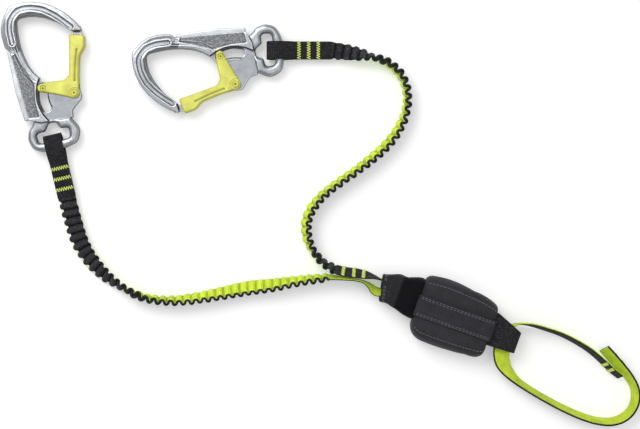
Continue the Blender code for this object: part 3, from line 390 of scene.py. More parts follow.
weave, (along, across, thread), result = group(
    "woven_threads", {"Along": 0.0, "Across": 0.0, "Thread": 0.0008}, ("Relief", "Gap"))
over_warp, over_weft = across / thread, along / thread
warp, weft = [(over * math.pi).maths("SINE").maths("ABSOLUTE") for over in (over_warp, over_weft)]
odd = ((over_warp.maths("FLOOR") + over_weft.maths("FLOOR")) * 0.5).maths("FRACT") * 2.0
arch_warp, arch_weft = [one ** 0.5 * (other * 0.65 + 0.35) for one, other in ((warp, weft), (weft, warp))]
relief = arch_warp * odd + arch_weft * (odd * -1.0 + 1.0)
put(result.inputs["Relief"], relief)
put(result.inputs["Gap"], relief.maths("MULTIPLY_ADD", -1.0, 1.0, clamp=True))

shade, (place, size, low, high), result = group(
    "uneven_shade", {"Place": None, "Size": 60.0, "Low": 0.8, "High": 1.1}, ("Shade", "Grain"))
spread = add(shade, "ShaderNodeMapRange", {
    "Value": noise(place, size, 4.0, 0.6), "From Min": 0.3, "From Max": 0.7, "To Min": low, "To Max": high})
put(result.inputs["Shade"], spread.outputs[0])
put(result.inputs["Grain"], noise(place, size * 25.0, 2.0, 0.7))


def use(tree, made, inputs):
    """The outputs of one use of a node group."""
    return [Value(output) for output in add(tree, "ShaderNodeGroup", inputs, node_tree=made).outputs]


def clouded(name, size, low=0.8, high=1.1):
    """A material with its tree, object coordinates, slow shade and fine grain."""
    made, tree = new_material(name)
    place = Value(add(tree, "ShaderNodeTexCoord").outputs["Object"])
    return made, tree, place, *use(tree, shade, {"Place": place, "Size": size, "Low": low, "High": high})


# %% Webbing materials
# Each yarn has a tone for the gaps between its threads, painted shade, and a lighter tone for the thread tops, painted
# light.
BLACK_YARN = (0.003, 0.003, 0.004)
BLACK_YARN_PAINTED_LIGHT = (0.022, 0.022, 0.026)
BLACK_YARN_FLECK = (0.11, 0.11, 0.12)
GREEN_YARN = (0.76, 0.92, 0.075)
GREEN_YARN_PAINTED_SHADE = (0.48, 0.65, 0.028)
WEBBING_THREAD = 0.0009
SHEEN = {"Sheen Weight": 0.06, "Sheen Roughness": 0.4}


def webbing_material(name, green, ribbed=False):
    """Two-colour webbing; green is its reach round the green face, from and to, or None."""
    made, tree, place, clouds, grain = clouded(name, 90.0, 0.78, 1.16)
    along, across, _ = parts(add(tree, "ShaderNodeUVMap", uv_map="strap").outputs[0])
    relief, gap = use(tree, weave, {"Along": along, "Across": across, "Thread": WEBBING_THREAD})
    # Lighter grey flecks scattered by noise.
    fluff = noise(place, 900.0, 2.0, 0.8)
    fluff_flecks = ramped(fluff, ((0.50, 0.0), (0.66, 1.0))) * 0.42
    # The weave's relief mixes painted shade in the gaps and painted light on the thread tops.
    colour = mixed(fluff_flecks, mixed(relief, BLACK_YARN, BLACK_YARN_PAINTED_LIGHT), BLACK_YARN_FLECK)
    yarn = mixed(relief, GREEN_YARN_PAINTED_SHADE, GREEN_YARN)
    # Painted light on the crests of the gathers and painted shade in their valleys, strongest on the black face.
    if ribbed:
        rib_light = kept(tree, "rib_painted_light")
        colour = times(colour, rib_light * 1.55 + 0.20)
        yarn = times(yarn, rib_light * 0.50 + 0.70)
    if green:
        middle, half = (green[0] + green[1]) / 2, (green[1] - green[0]) / 2
        off = (across - middle).maths("ABSOLUTE") + (grain - 0.5) * 0.0008
        colour = mixed(off.maths("LESS_THAN", half), colour, yarn)
    painted(tree, {**SHEEN, "Base Color": times(colour, clouds), "Specular IOR Level": 0.16,
                   "Roughness": gap.maths("MULTIPLY_ADD", 0.18, 0.78, clamp=True),
                   "Normal": bumped(relief + grain * 0.35, 0.65, WEBBING_THREAD * 0.35)})
    return made


ribbed_cloth = {"a": webbing_material("ribbed_webbing_green_low", (-0.0063, 0.0086), ribbed=True),
                "b": webbing_material("ribbed_webbing_green_high", (-0.0086, 0.0053), ribbed=True)}
flat_cloth = webbing_material("flat_two_colour_webbing", (-0.0078, 0.0078))
tie_in_cloth = webbing_material("tie_in_two_colour_webbing", (-0.0063, 0.0086))
black_cloth = webbing_material("black_webbing_cloth", None)
print("webbing has its colours")

# %% [markdown]
# ## The webbing of the legs
# Each leg is elastic webbing, black on one face and yellow-green on the other,
# gathered so that it can stretch: the tape stands in waves out of its own
# plane, and seen from above its edge draws a line of round bends. Bending a
# straight strap with a curve modifier would smear the waves, so the strap is
# built ring by ring along the same route as the solid. Every ring is a rounded
# flat section that leans with the wave, so that the tape keeps its thickness.
# A UV map keeps metres along and round the strap, and the weave follows it.

# %% Routes of the webbing, the points of the solids with a little more roll on leg b
WEBBING_WIDTH = 0.0160
WEBBING_THICK = 0.0016
RIBBED_THICK = 0.0022
RIB_PITCH = 0.0074
RINGS_A_RIB = 18
RIB_WAVE = 0.0015
RIB_FADE = 0.0150
LEVEL_FLAT = 0.0300
LEVEL_RUN = 0.0600
TABLE_GAP = 0.0002
SEAT_GAP = 0.0003
TIE_IN_WIDTH = 0.0150
TIE_IN_THICK = 0.0020
CARABINER_LEVEL = 0.0069
LEG_SEWN_LENGTH = 0.0480
SLEEVE_WALL = 0.0012
ON_EDGE = TABLE_GAP + WEBBING_WIDTH / 2 + SLEEVE_WALL + SEAT_GAP
TAB_LEVEL = 0.0119
TAB_MIDDLE = (0.0500, 0.0)
TAB_LIFT_FLAT = 0.0140
TAB_LIFT_RUN = 0.0300
POUCH_TURN = -19.5
LEG_A_ROUTE = (
    (-0.3409, 0.0844, -4), (-0.3358, 0.0689, -12), (-0.3285, 0.0555, -25), (-0.3176, 0.0422, -40),
    (-0.3064, 0.0326, -58), (-0.2905, 0.0229, -82), (-0.2750, 0.0177, -100), (-0.2578, 0.0156, -108),
    (-0.2407, 0.0164, -116), (-0.2236, 0.0190, -122), (-0.2061, 0.0224, -130), (-0.1838, 0.0267, -138),
    (-0.1631, 0.0293, -130), (-0.1459, 0.0322, -120), (-0.1287, 0.0345, -112), (-0.1114, 0.0362, -104),
)
LEG_B_ROUTE = (
    (-0.1000, 0.2386, 12), (-0.0850, 0.2363, 40), (-0.0760, 0.2346, 66), (-0.0666, 0.2318, 86),
    (-0.0579, 0.2273, 96), (-0.0502, 0.2206, 100), (-0.0454, 0.2132, 102), (-0.0427, 0.2045, 103),
    (-0.0419, 0.1965, 104), (-0.0427, 0.1880, 106), (-0.0447, 0.1804, 110), (-0.0481, 0.1729, 114),
    (-0.0522, 0.1658, 116), (-0.0574, 0.1587, 118), (-0.0639, 0.1517, 118), (-0.0719, 0.1446, 118),
    (-0.0805, 0.1376, 116), (-0.0890, 0.1312, 114), (-0.0976, 0.1252, 114), (-0.1064, 0.1189, 114),
    (-0.1151, 0.1123, 114), (-0.1220, 0.1055, 116), (-0.1277, 0.0982, 118), (-0.1315, 0.0904, 118),
    (-0.1330, 0.0820, 118), (-0.1322, 0.0735, 116), (-0.1297, 0.0653, 110), (-0.1250, 0.0576, 98),
    (-0.1188, 0.0511, 82), (-0.1118, 0.0458, 68), (-0.1040, 0.0424, 60),
)
TAIL_A_ROUTE = (
    (-0.1114, 0.0362, -104), (-0.0990, 0.0349, -97), (-0.0890, 0.0338, -94), (-0.0810, 0.0320, -96),
    (-0.0756, 0.0285, -106), (-0.0717, 0.0245, -116), (-0.0680, 0.0229, -116), (-0.0630, 0.0218, -106),
    (-0.0560, 0.0195, -92), (-0.0490, 0.0168, -90),
)
TAIL_B_ROUTE = (
    (-0.1040, 0.0424, 60), (-0.0970, 0.0408, 60), (-0.0880, 0.0397, 60), (-0.0790, 0.0382, 66),
    (-0.0710, 0.0362, 80), (-0.0640, 0.0332, 90), (-0.0580, 0.0300, 90), (-0.0520, 0.0265, 90),
    (-0.0465, 0.0240, 90),
)
TIE_IN_ROUTE = (
    (0.1500, -0.0535, 72), (0.1427, -0.0478, 72), (0.1337, -0.0392, 73), (0.1229, -0.0300, 74),
    (0.1094, -0.0215, 75), (0.0959, -0.0149, 76), (0.0824, -0.0103, 77), (0.0718, -0.0072, 79),
    (0.0635, -0.0057, 83), (0.0568, -0.0057, 88), (0.0508, -0.0083, 98), (0.0468, -0.0130, 124),
    (0.0446, -0.0190, 154), (0.0430, -0.0260, 176), (0.0424, -0.0330, 188), (0.0440, -0.0410, 204),
    (0.0498, -0.0500, 230), (0.0594, -0.0590, 246), (0.0730, -0.0679, 250), (0.0867, -0.0757, 250),
    (0.1001, -0.0826, 250), (0.1136, -0.0885, 250), (0.1271, -0.0927, 250), (0.1400, -0.0940, 250),
    (0.1510, -0.0910, 250), (0.1590, -0.0842, 250), (0.1633, -0.0745, 250), (0.1628, -0.0638, 249),
    (0.1578, -0.0540, 246), (0.1508, -0.0453, 241), (0.1430, -0.0366, 238), (0.1352, -0.0280, 238),
)


# %% Short ways to shape numbers
def smooth(points, steps):
    """Catmull-Rom curve through the points, for any number of values a point."""
    vectors = [Vector(point) for point in points]
    padded = [vectors[0] * 2 - vectors[1]] + vectors + [vectors[-1] * 2 - vectors[-2]]
    curve = []
    for index in range(1, len(padded) - 2):
        a, b, c, d = padded[index - 1:index + 3]
        for step in range(steps):
            t = step / steps
            curve.append((b * 2 + (c - a) * t + (a * 2 - b * 5 + c * 4 - d) * t ** 2
                          + (b * 3 - a - c * 3 + d) * t ** 3) / 2)
    return curve + [vectors[-1]]


def eased(share):
    """A share from 0 to 1 with a soft start and a soft end."""
    return share * share * (3 - 2 * share)


def rise(values, start, run):
    """0 up to a start, 1 from a run further on; a run below 0 falls instead."""
    return np.clip((values - start) / run, 0.0, 1.0)


def hump(values, middle, width):
    """A soft hump, 1 in the middle."""
    return np.exp(-((values - middle) / width) ** 2)


def squared(value, power):
    """A sine or cosine drawn out towards a square section."""
    return math.copysign(abs(value) ** power, value)


# %% Short ways to build pieces
def linked(name, mesh):
    """A new object for a mesh."""
    piece = bpy.data.objects.new(name, mesh)
    bpy.context.scene.collection.objects.link(piece)
    return piece


def pick(*pieces):
    """Only these pieces selected, the first one active."""
    bpy.ops.object.select_all(action="DESELECT")
    for piece in pieces:
        piece.select_set(True)
    bpy.context.view_layer.objects.active = pieces[0]


def edited(piece, **steps):
    """Mesh operators on the whole of a piece, each with its settings."""
    pick(piece)
    bpy.ops.object.mode_set(mode="EDIT")
    bpy.ops.mesh.select_all(action="SELECT")
    for step, settings in steps.items():
        getattr(bpy.ops.mesh, step)(**settings)
    bpy.ops.object.mode_set(mode="OBJECT")


def tidy_normals(piece, angle=40.0):
    """Normals out, and smooth shading below an angle."""
    edited(piece, normals_make_consistent={"inside": False})
    bpy.ops.object.shade_smooth_by_angle(angle=math.radians(angle))


def modified(piece, kind, **settings):
    """One modifier with its settings, applied."""
    step = piece.modifiers.new(kind.lower(), kind)
    for key, setting in settings.items():
        setattr(step, key, setting)
    pick(piece)
    bpy.ops.object.modifier_apply(modifier=step.name)


def bevelled(piece, width):
    """Rounded edges from a bevel."""
    modified(piece, "BEVEL", width=width, segments=2, limit_method="ANGLE",
             angle_limit=math.radians(60.0), harden_normals=False)


def points_of(mesh, what="co"):
    """Places or normals of a mesh as an array."""
    values = np.empty(len(mesh.vertices) * 3)
    mesh.vertices.foreach_get(what, values)
    return values.reshape(-1, 3)


def reshape(piece, co):
    """Move the points of a piece to new places."""
    piece.data.vertices.foreach_set("co", co.astype(np.float32).ravel())
    piece.data.update()


def keep_value(piece, name, values):
    """A point value that a material can read."""
    kept_values = piece.data.attributes.new(name, "FLOAT", "POINT")
    kept_values.data.foreach_set("value", np.asarray(values, dtype=np.float32))


def tube(name, rings, closed=True):
    """A surface through rings of equal count; closed adds both end faces."""
    count, last = len(rings[0]), len(rings) - 1
    faces = []
    for row in range(last):
        for number in range(count):
            after = (number + 1) % count
            faces.append((row * count + number, row * count + after,
                          (row + 1) * count + after, (row + 1) * count + number))
    if closed:
        faces += [tuple(row * count + number for number in range(count)) for row in (0, last)]
    mesh = bpy.data.meshes.new(name)
    mesh.from_pydata([point for ring in rings for point in ring], [], faces)
    return linked(name, mesh)


def dress(piece, finish, slot, node=None, body="lanyard"):
    """Give a piece its material, its body, the solid that it replaces and its slot."""
    piece.data.materials.append(finish)
    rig.ride(piece, body)
    if node:
        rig.replaces(piece, node)
    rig.slot(piece, slot)


# %% Places along a strap
def strap_places(route, ends, width, thick, levels, wave, step):
    """Centre, way along, way across, face and metres along, every step of a route."""
    dense = smooth(route, 12)
    walked = [0.0]
    for last, point in zip(dense, dense[1:]):
        walked.append(walked[-1] + (point.xy - last.xy).length)
    length = walked[-1]
    count = max(2, round(length / step))
    spots = []
    index = 0
    for number in range(count + 1):
        target = length * number / count
        while index < len(walked) - 2 and walked[index + 1] < target:
            index += 1
        share = (target - walked[index]) / (walked[index + 1] - walked[index])
        spots.append(dense[index].lerp(dense[index + 1], share))
    places = []
    for number, spot in enumerate(spots):
        here = length * number / count
        roll = math.radians(spot.z)
        fade = min(1.0, here / RIB_FADE, (length - here) / RIB_FADE)
        level = (TABLE_GAP + abs(math.sin(roll)) * width / 2
                 + abs(math.cos(roll)) * (thick / 2 + wave * fade))
        for end_level, away in zip(levels, (here, length - here)):
            fall = min(1.0, max(0.0, away - LEVEL_FLAT) / LEVEL_RUN)
            level = max(level, end_level - (end_level - level) * fall)
        way = (spots[min(number + 1, count)] - spots[max(number - 1, 0)]).xy
        if number in (0, count) and ends[number // count]:
            way = ends[number // count]
        along = Vector((*way, 0.0)).normalized()
        left = Vector((-along.y, along.x, 0.0))
        face = Vector((0.0, 0.0, math.cos(roll))) + left * math.sin(roll)
        places.append((Vector((spot.x, spot.y, level)), along, along.cross(face), face, here))
    return places


# %% A strap woven ring by ring
SECTION_POINTS = 28
FLAT_ROUNDNESS = 0.55
TUBE_ROUNDNESS = 0.60
TUBE_FULL = 0.0002
TUBE_STANDING = 0.0008
TUBE_WAVE = 0.0020
TUBE_MEANDER = 0.00033
TUBE_SWAY = 0.0007
TUBE_FLARE = 0.0011
TUBE_FADE = 0.0040


def woven_strap(name, places, width, thick, ribs=0):
    """Closed strap, gathered where it has ribs, with a UV map in metres and a value of painted light and shade on its
    ribs.
    """
    roundness = TUBE_ROUNDNESS if ribs else FLAT_ROUNDNESS
    angles = [math.tau * (number + 0.5) / SECTION_POINTS for number in range(SECTION_POINTS)]
    shares = [(squared(math.cos(angle), roundness), squared(math.sin(angle), roundness)) for angle in angles]
    length = places[-1][4]
    rate = math.tau * ribs / length
    rings, rib_lights = [], []
    for centre, along, across, face, here in places:
        fade = min(1.0, here / TUBE_FADE, (length - here) / TUBE_FADE) if ribs else 0.0
        standing = hump(face.z, 0.0, 0.22)
        half_thick = thick / 2 + fade * (TUBE_FULL + TUBE_STANDING * standing)
        ring = []
        for over, out in shares:
            turn = rate * here + 0.3 * math.sin(2.3 * over + 40.0 * here)
            size = 0.92 + 0.14 * math.sin(0.77 * turn) * math.sin(0.31 * turn)
            swing = math.cos(turn) * size
            reach = TUBE_WAVE * fade * (1.0 + 0.40 * standing) * (0.75 + 0.25 * over * across.z)
            slope = -reach * size * math.sin(turn) * rate
            stretch = 1.0 + 2 * TUBE_MEANDER * fade * math.cos(2 * turn) * rate
            leaning = (face * stretch - along * slope).normalized()
            half_wide = width / 2 - fade * TUBE_FLARE * (0.5 - 0.5 * swing)
            sway = TUBE_SWAY * fade * swing * (1.0 - abs(across.z))
            point = (centre + across * (over * half_wide + sway) + face * (reach * swing)
                     + along * (TUBE_MEANDER * fade * math.sin(2 * turn)) + leaning * (out * half_thick))
            point.z = max(point.z, TABLE_GAP / 2)
            ring.append(point)
            # Painted light and shade of the gathers: 1 on the crests of each face, 0 in its valleys, 0.8 where the
            # strap lies flat.
            rib_light = 0.5 + 0.5 * swing * math.copysign(1.0, out)
            rib_lights.append(rib_light * fade + (1.0 - fade) * 0.8)
        rings.append(ring)
    piece = tube(name, rings)
    keep_value(piece, "rib_painted_light", rib_lights)
    girth = [0.0]
    for this, after in zip(shares, shares[1:] + shares[:1]):
        girth.append(girth[-1] + math.hypot((after[0] - this[0]) * width / 2,
                                            (after[1] - this[1]) * thick / 2))
    quarter = 3 * SECTION_POINTS // 4
    middle = (girth[quarter - 1] + girth[quarter]) / 2
    round_it = [reach - middle for reach in girth]
    corners = []
    for last, this in zip(places, places[1:]):
        for one, two in zip(round_it, round_it[1:]):
            corners += [(last[4], one), (last[4], two), (this[4], two), (this[4], one)]
    corners += [(place[4], one) for place in (places[0], places[-1]) for one in round_it[:-1]]
    maps = piece.data.uv_layers.new(name="strap")
    maps.data.foreach_set("uv", np.array(corners, dtype=np.float32).ravel())
    tidy_normals(piece)
    return piece


# %% Both legs, their tails and the tie-in loop
STRAPS = {"a": ((-0.3595, 0.1540), -76.6, 0.0010), "b": ((-0.1579, 0.2436), 0.0, -0.0039)}


def from_eye(side, reach):
    """A spot at a distance from a leg's eye bar, and the ways along and left there."""
    eye, turn, shift = STRAPS[side]
    way = Vector((math.cos(math.radians(turn)), math.sin(math.radians(turn))))
    left = Vector((-way.y, way.x))
    return Vector(eye) + way * reach + left * shift, way, left


def corded(piece, places, width, every):
    """State a strap as a cord along its centre line; its length comes back."""
    centres = [place[0] for place in places]
    real = sum((b - a).length for a, b in zip(centres, centres[1:]))
    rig.cord(piece, exit=centres[0], length=real, diameter=width, far_end="object",
            stiffness="limp", lay="loose", path=centres[::every] + [centres[-1]])
    return real


tail_places = {}
for side, route, tail_route in (("a", LEG_A_ROUTE, TAIL_A_ROUTE), ("b", LEG_B_ROUTE, TAIL_B_ROUTE)):
    start, way, _ = from_eye(side, LEG_SEWN_LENGTH - SEAT_GAP)
    join = (Vector(tail_route[1]) - Vector(route[-2])).xy.normalized()
    places = strap_places(((*start, 0.0), *route), (way, join), WEBBING_WIDTH, RIBBED_THICK,
                          (CARABINER_LEVEL, ON_EDGE), RIB_WAVE, RIB_PITCH / RINGS_A_RIB)
    ribs = round(places[-1][4] / RIB_PITCH)
    leg = woven_strap(f"leg_{side}_ribbed", places, WEBBING_WIDTH, RIBBED_THICK, ribs)
    dress(leg, ribbed_cloth[side], "green_webbing", f"leg_{side}_webbing")
    real = corded(leg, places, WEBBING_WIDTH, 4)
    tail_places[side] = strap_places(tail_route, (join, None), WEBBING_WIDTH, WEBBING_THICK,
                                     (ON_EDGE, ON_EDGE), 0.0, 0.0008)
    tail = woven_strap(f"leg_{side}_tail_strap", tail_places[side], WEBBING_WIDTH, WEBBING_THICK)
    dress(tail, flat_cloth, "black_webbing", f"leg_{side}_tail")
    print("leg", side, round(real, 4), "m,", ribs, "ribs")

unturn = Matrix.Rotation(math.radians(-POUCH_TURN), 2)
tie_places = []
for centre, *ways in strap_places(TIE_IN_ROUTE, (None, None), TIE_IN_WIDTH, TIE_IN_THICK,
                                  (0.0, 0.0), 0.0, 0.0012):
    away = (unturn @ centre.xy - Vector(TAB_MIDDLE)).length
    share = eased(max(0.0, 1.0 - max(0.0, away - TAB_LIFT_FLAT) / TAB_LIFT_RUN))
    tie_places.append((centre + Vector((0.0, 0.0, max(0.0, TAB_LEVEL - centre.z) * share)), *ways))
tie_in = woven_strap("tie_in_webbing", tie_places, TIE_IN_WIDTH, TIE_IN_THICK)
dress(tie_in, tie_in_cloth, "green_webbing", "tie_in_loop")
print("tie-in loop", round(corded(tie_in, tie_places, TIE_IN_WIDTH, 3), 4), "m")

# %% [markdown]
# ## Sewn end loops, absorber webbing and the outlet tab
# These straps are folded and sewn, and the solids already have the right folds.
# A copy of each solid keeps that shape: its loose triangles are merged, its
# hard edges are rounded by a bevel, and a UV map is measured in the strap's own
# directions, so that the threads run along it round every fold.


# %% Merged copies of the solids
def copy_of(node, name):
    """A merged copy of a solid, to work on."""
    piece = linked(name, frame["nodes"][node].data.copy())
    piece.data.materials.clear()
    for key in [layer.name for layer in piece.data.uv_layers]:
        piece.data.uv_layers.remove(piece.data.uv_layers[key])
    pick(piece)
    bpy.ops.mesh.customdata_custom_splitnormals_clear()
    edited(piece, remove_doubles={"threshold": 0.00002},
           tris_convert_to_quads={"face_threshold": math.radians(1), "shape_threshold": math.radians(180)},
           dissolve_limited={"angle_limit": math.radians(0.5)}, normals_make_consistent={"inside": False})
    return piece


def strap_map(piece, to_local):
    """UV in metres along and across a folded strap, chosen by each face's own direction."""
    maps = piece.data.uv_layers.new(name="strap")
    for polygon in piece.data.polygons:
        normal = to_local.to_3x3() @ polygon.normal
        for corner in polygon.loop_indices:
            x, y, z = to_local @ piece.data.vertices[piece.data.loops[corner].vertex_index].co
            along = x if abs(normal.z) >= abs(normal.x) else z
            maps.data[corner].uv = (along, y + z if abs(normal.y) > 0.7 else y)


pouch_turn = Matrix.Rotation(math.radians(POUCH_TURN), 4, "Z")
stands = {"absorber_pack": pouch_turn, "outlet_tab": pouch_turn}
for side, (eye, turn, _) in STRAPS.items():
    stands[f"leg_{side}_end_loop"] = (
        Matrix.Translation((*eye, CARABINER_LEVEL)) @ Matrix.Rotation(math.radians(turn), 4, "Z"))
for node, name in (("leg_a_end_loop", "leg_a_sewn_eye"), ("leg_b_end_loop", "leg_b_sewn_eye"),
                   ("absorber_pack", "absorber_tear_webbing"), ("outlet_tab", "outlet_tab_webbing")):
    strap = copy_of(node, name)
    bevelled(strap, 0.00045)
    strap_map(strap, stands[node].inverted())
    tidy_normals(strap, 50.0)
    dress(strap, black_cloth, "black_webbing", node)
print("sewn straps done")

# %% [markdown]
# ## Bar tacks
# A bar tack is a dense zigzag of thread that holds two layers of webbing. One
# zig and one zag are two thin rounded threads. They are modelled once, repeated
# with an Array modifier to the width of the strap, and then copied to each
# place where the picture shows a yellow-green bar.

# %% One bar tack
TACK_WIDTH = 0.0032
TACK_PITCH = 0.0022
TACK_THREAD = 0.0008
TACK_COUNT = round((WEBBING_WIDTH - 0.0016) / TACK_PITCH)
LAP_TACK_SHARE = 0.92
LAP_LENGTH = 0.0290


def thread_bit(radius, length, bevel, location=(0, 0, 0), slant=0.0):
    """A short thread along X with rounded ends."""
    bpy.ops.mesh.primitive_cylinder_add(
        vertices=6, radius=radius, depth=length, location=location, rotation=(0, math.pi / 2, slant))
    bit = bpy.context.object
    edited(bit, bevel={"offset": bevel, "segments": 1, "affect": "EDGES"})
    bpy.ops.object.transform_apply(location=True, rotation=True, scale=True)
    return bit


slant = math.atan2(TACK_PITCH / 2, TACK_WIDTH)
zigs = [thread_bit(TACK_THREAD / 2, math.hypot(TACK_WIDTH, TACK_PITCH / 2), TACK_THREAD * 0.2,
                   (0, way * TACK_PITCH / 4, TACK_THREAD * 0.20), way * slant) for way in (1, -1)]
pick(*zigs)
bpy.ops.object.join()
tack = bpy.context.object
modified(tack, "ARRAY", use_relative_offset=False, use_constant_offset=True,
         constant_offset_displace=(0, TACK_PITCH, 0), count=TACK_COUNT)
tack.data.transform(Matrix.Translation((0, -(TACK_COUNT - 1) * TACK_PITCH / 2, 0)))

thread_finish, tree, place, clouds, grain = clouded("yellow_green_thread", 220.0)
# Lighter bands along the twist are painted highlights on the thread's plies.
twist_highlight = Value(add(tree, "ShaderNodeTexWave", {"Vector": place, "Scale": 900.0, "Distortion": 1.5},
                  wave_type="BANDS", bands_direction="DIAGONAL").outputs[1])
painted(tree, {"Base Color": times(mixed(twist_highlight, (0.62, 0.80, 0.07), (0.95, 1.0, 0.30)), clouds),
               "Roughness": grain * 0.25 + 0.55, "Normal": bumped(twist_highlight, 0.5, 0.0001)})


# %% Every bar tack in its place
def basis(centre, along, across, face):
    """A matrix with local X along, local Y across and local Z out of the face."""
    return Matrix.Translation(centre) @ Matrix((along, across, face)).transposed().to_4x4()


def put_tack(name, matrix):
    """A copy of the bar tack with its own mesh, its place in the mesh."""
    piece = linked(name, tack.data.copy())
    piece.data.transform(matrix)
    dress(piece, thread_finish, "green_webbing")


def tack_on(name, places, reach, thick, share=1.0):
    """A bar tack on a strap's face, at a distance along it."""
    centre, along, across, face, _ = min(places, key=lambda place: abs(place[4] - reach))
    put_tack(name, basis(centre + face * thick / 2, along, -across * share, face))


STACK_HALF = WEBBING_THICK + SEAT_GAP / 2
for side, reaches in (("a", (0.0208, 0.0303, 0.0398)), ("b", (0.0190, 0.0277, 0.0363))):
    for number, reach in enumerate(reaches, 1):
        spot, way, left = from_eye(side, reach)
        for label, sign in (("top", 1), ("under", -1)):
            put_tack(f"leg_{side}_tack_{number}_{label}", basis(
                Vector((*spot, CARABINER_LEVEL + sign * STACK_HALF)),
                Vector((*way, 0.0)) * sign, Vector((*left, 0.0)), Vector((0.0, 0.0, sign))))
for number, reach in enumerate((0.0052, 0.0143, 0.0232), 1):
    tack_on(f"junction_tack_{number}", tail_places["b"], reach, WEBBING_THICK)
for number, reach in enumerate((0.0104, 0.0179), 1):
    for label, start in (("inner", 0.0), ("outer", tie_places[-1][4] - LAP_LENGTH)):
        tack_on(f"lap_tack_{number}_{label}", tie_places, start + reach, TIE_IN_THICK, LAP_TACK_SHARE)
bpy.data.objects.remove(tack, do_unlink=True)
print("bar tacks sewn")

# %% [markdown]
# ## The pouch
# The pouch is soft fabric, packed tight with the folded tear webbing, and it
# swells between its seams. A loft a little smaller than the solid is remeshed
# into even squares, and Blender's Cloth blows it up gently while the strip
# under the band and the floor are held. No point may move more than about a
# millimetre, so it stays where the solid is.

# %% Pouch forms, the same shares as the solid
POUCH_LENGTH = 0.0720
POUCH_WIDTH = 0.0600
POUCH_HEIGHT = 0.0290
BAND_WIDTH = 0.0190
BAND_THICK = 0.0012
POUCH_SHARES = (
    (-0.500, -0.230, 0.400, 0.76, 0.0), (-0.493, -0.340, 0.455, 0.83, 0.4),
    (-0.450, -0.425, 0.490, 0.90, 0.8), (-0.360, -0.490, 0.505, 0.95, 1.0),
    (-0.200, -0.500, 0.520, 0.99, 1.0), (-0.050, -0.495, 0.515, 1.00, 1.0),
    (0.110, -0.490, 0.495, 1.00, 1.0), (0.270, -0.480, 0.470, 0.97, 1.0),
    (0.400, -0.465, 0.430, 0.92, 0.9), (0.465, -0.430, 0.390, 0.86, 0.7),
    (0.493, -0.370, 0.355, 0.81, 0.4), (0.500, -0.320, 0.345, 0.78, 0.2),
)
LOW, HIGH, TALL = 1, 2, 3
POUCH_SECTION_SHARES = (
    (0.00, 0.90), (0.34, 1.00), (0.66, 0.96), (0.89, 0.80), (1.00, 0.56),
    (1.00, 0.32), (0.95, 0.10), (0.82, 0.0), (0.00, 0.0),
)
CROWN = POUCH_SECTION_SHARES[0][1]


def pouch_section(low, high, tall, puff):
    """One section across the pouch, flat under the band: side and height."""
    halves = []
    for edge, way in ((high, 1), (low, -1)):
        flat = way * (BAND_WIDTH / 2 + SEAT_GAP)
        halves.append([
            (flat + (edge - flat) * out, tall * (min(up, CROWN) + max(0.0, up - CROWN) * puff))
            for out, up in POUCH_SECTION_SHARES
        ])
    return halves[0] + halves[1][::-1]


def pouch_line(x, column, scale):
    """One of the pouch's shares, in metres, at places along the pouch."""
    ends = [s[0] * POUCH_LENGTH for s in POUCH_SHARES]
    return np.interp(x, ends, [s[column] * scale for s in POUCH_SHARES])


# %% Pouch cloth
SLIM = 0.0008
MOUTH_DEPTH = 0.007
POUCH_FLOOR = 0.0012
PRESSURE = 2.0
GROWTH = 0.012
FURTHEST = 0.0012
FRAMES = 20
rings = []
for along, low, high, tall, puff in smooth(POUCH_SHARES, 3):
    section = pouch_section(
        low * POUCH_WIDTH + SLIM, high * POUCH_WIDTH - SLIM, tall * POUCH_HEIGHT - SLIM, puff)
    rings.append([Vector((along * (POUCH_LENGTH - SLIM), side, max(up, 0.0004))) for side, up in section])
last = rings[-1]
middle = sum(last, Vector()) / len(last)
for share, back in ((0.86, 0.0006), (0.80, MOUTH_DEPTH / 2), (0.74, MOUTH_DEPTH)):
    rings.append([middle + (point - middle) * share - Vector((back, 0.0, 0.0)) for point in last])
pouch = tube("pouch_cloth", rings)
tidy_normals(pouch)
modified(pouch, "REMESH", mode="VOXEL", voxel_size=0.0024)
before = points_of(pouch.data)
held = pouch.vertex_groups.new(name="held")
for index, (along, side, up) in enumerate(before):
    on_band = abs(side) < BAND_WIDTH / 2 + 0.0012 and up > POUCH_HEIGHT * 0.6
    if on_band or up < POUCH_FLOOR or abs(along) > POUCH_LENGTH / 2 - 0.003:
        held.add([index], 1.0, "REPLACE")
print("pouch starts with", len(before), "points")
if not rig.quick():
    cloth = pouch.modifiers.new("cloth", "CLOTH")
    cloth.settings.use_pressure = True
    cloth.settings.uniform_pressure_force = PRESSURE
    cloth.settings.vertex_group_mass = "held"
    cloth.settings.shrink_min = -GROWTH
    cloth.settings.effector_weights.gravity = 0.0
    cloth.settings.quality = 6
    cloth.point_cache.frame_start = 1
    cloth.point_cache.frame_end = FRAMES
    for number in range(1, FRAMES + 1):
        bpy.context.scene.frame_set(number)
    graph = bpy.context.evaluated_depsgraph_get()
    move = points_of(pouch.evaluated_get(graph).to_mesh()) - before
    pouch.modifiers.clear()
    size = np.linalg.norm(move, axis=1, keepdims=True)
    reshape(pouch, before + move * np.minimum(1.0, FURTHEST / np.maximum(size, 1e-9)))
    bpy.context.scene.frame_set(1)
    print("cloth moved", round(float(size.max()) * 1000, 2), "mm at most")
modified(pouch, "SMOOTH", factor=0.5, iterations=6)
modified(pouch, "SUBSURF", levels=2, render_levels=2)

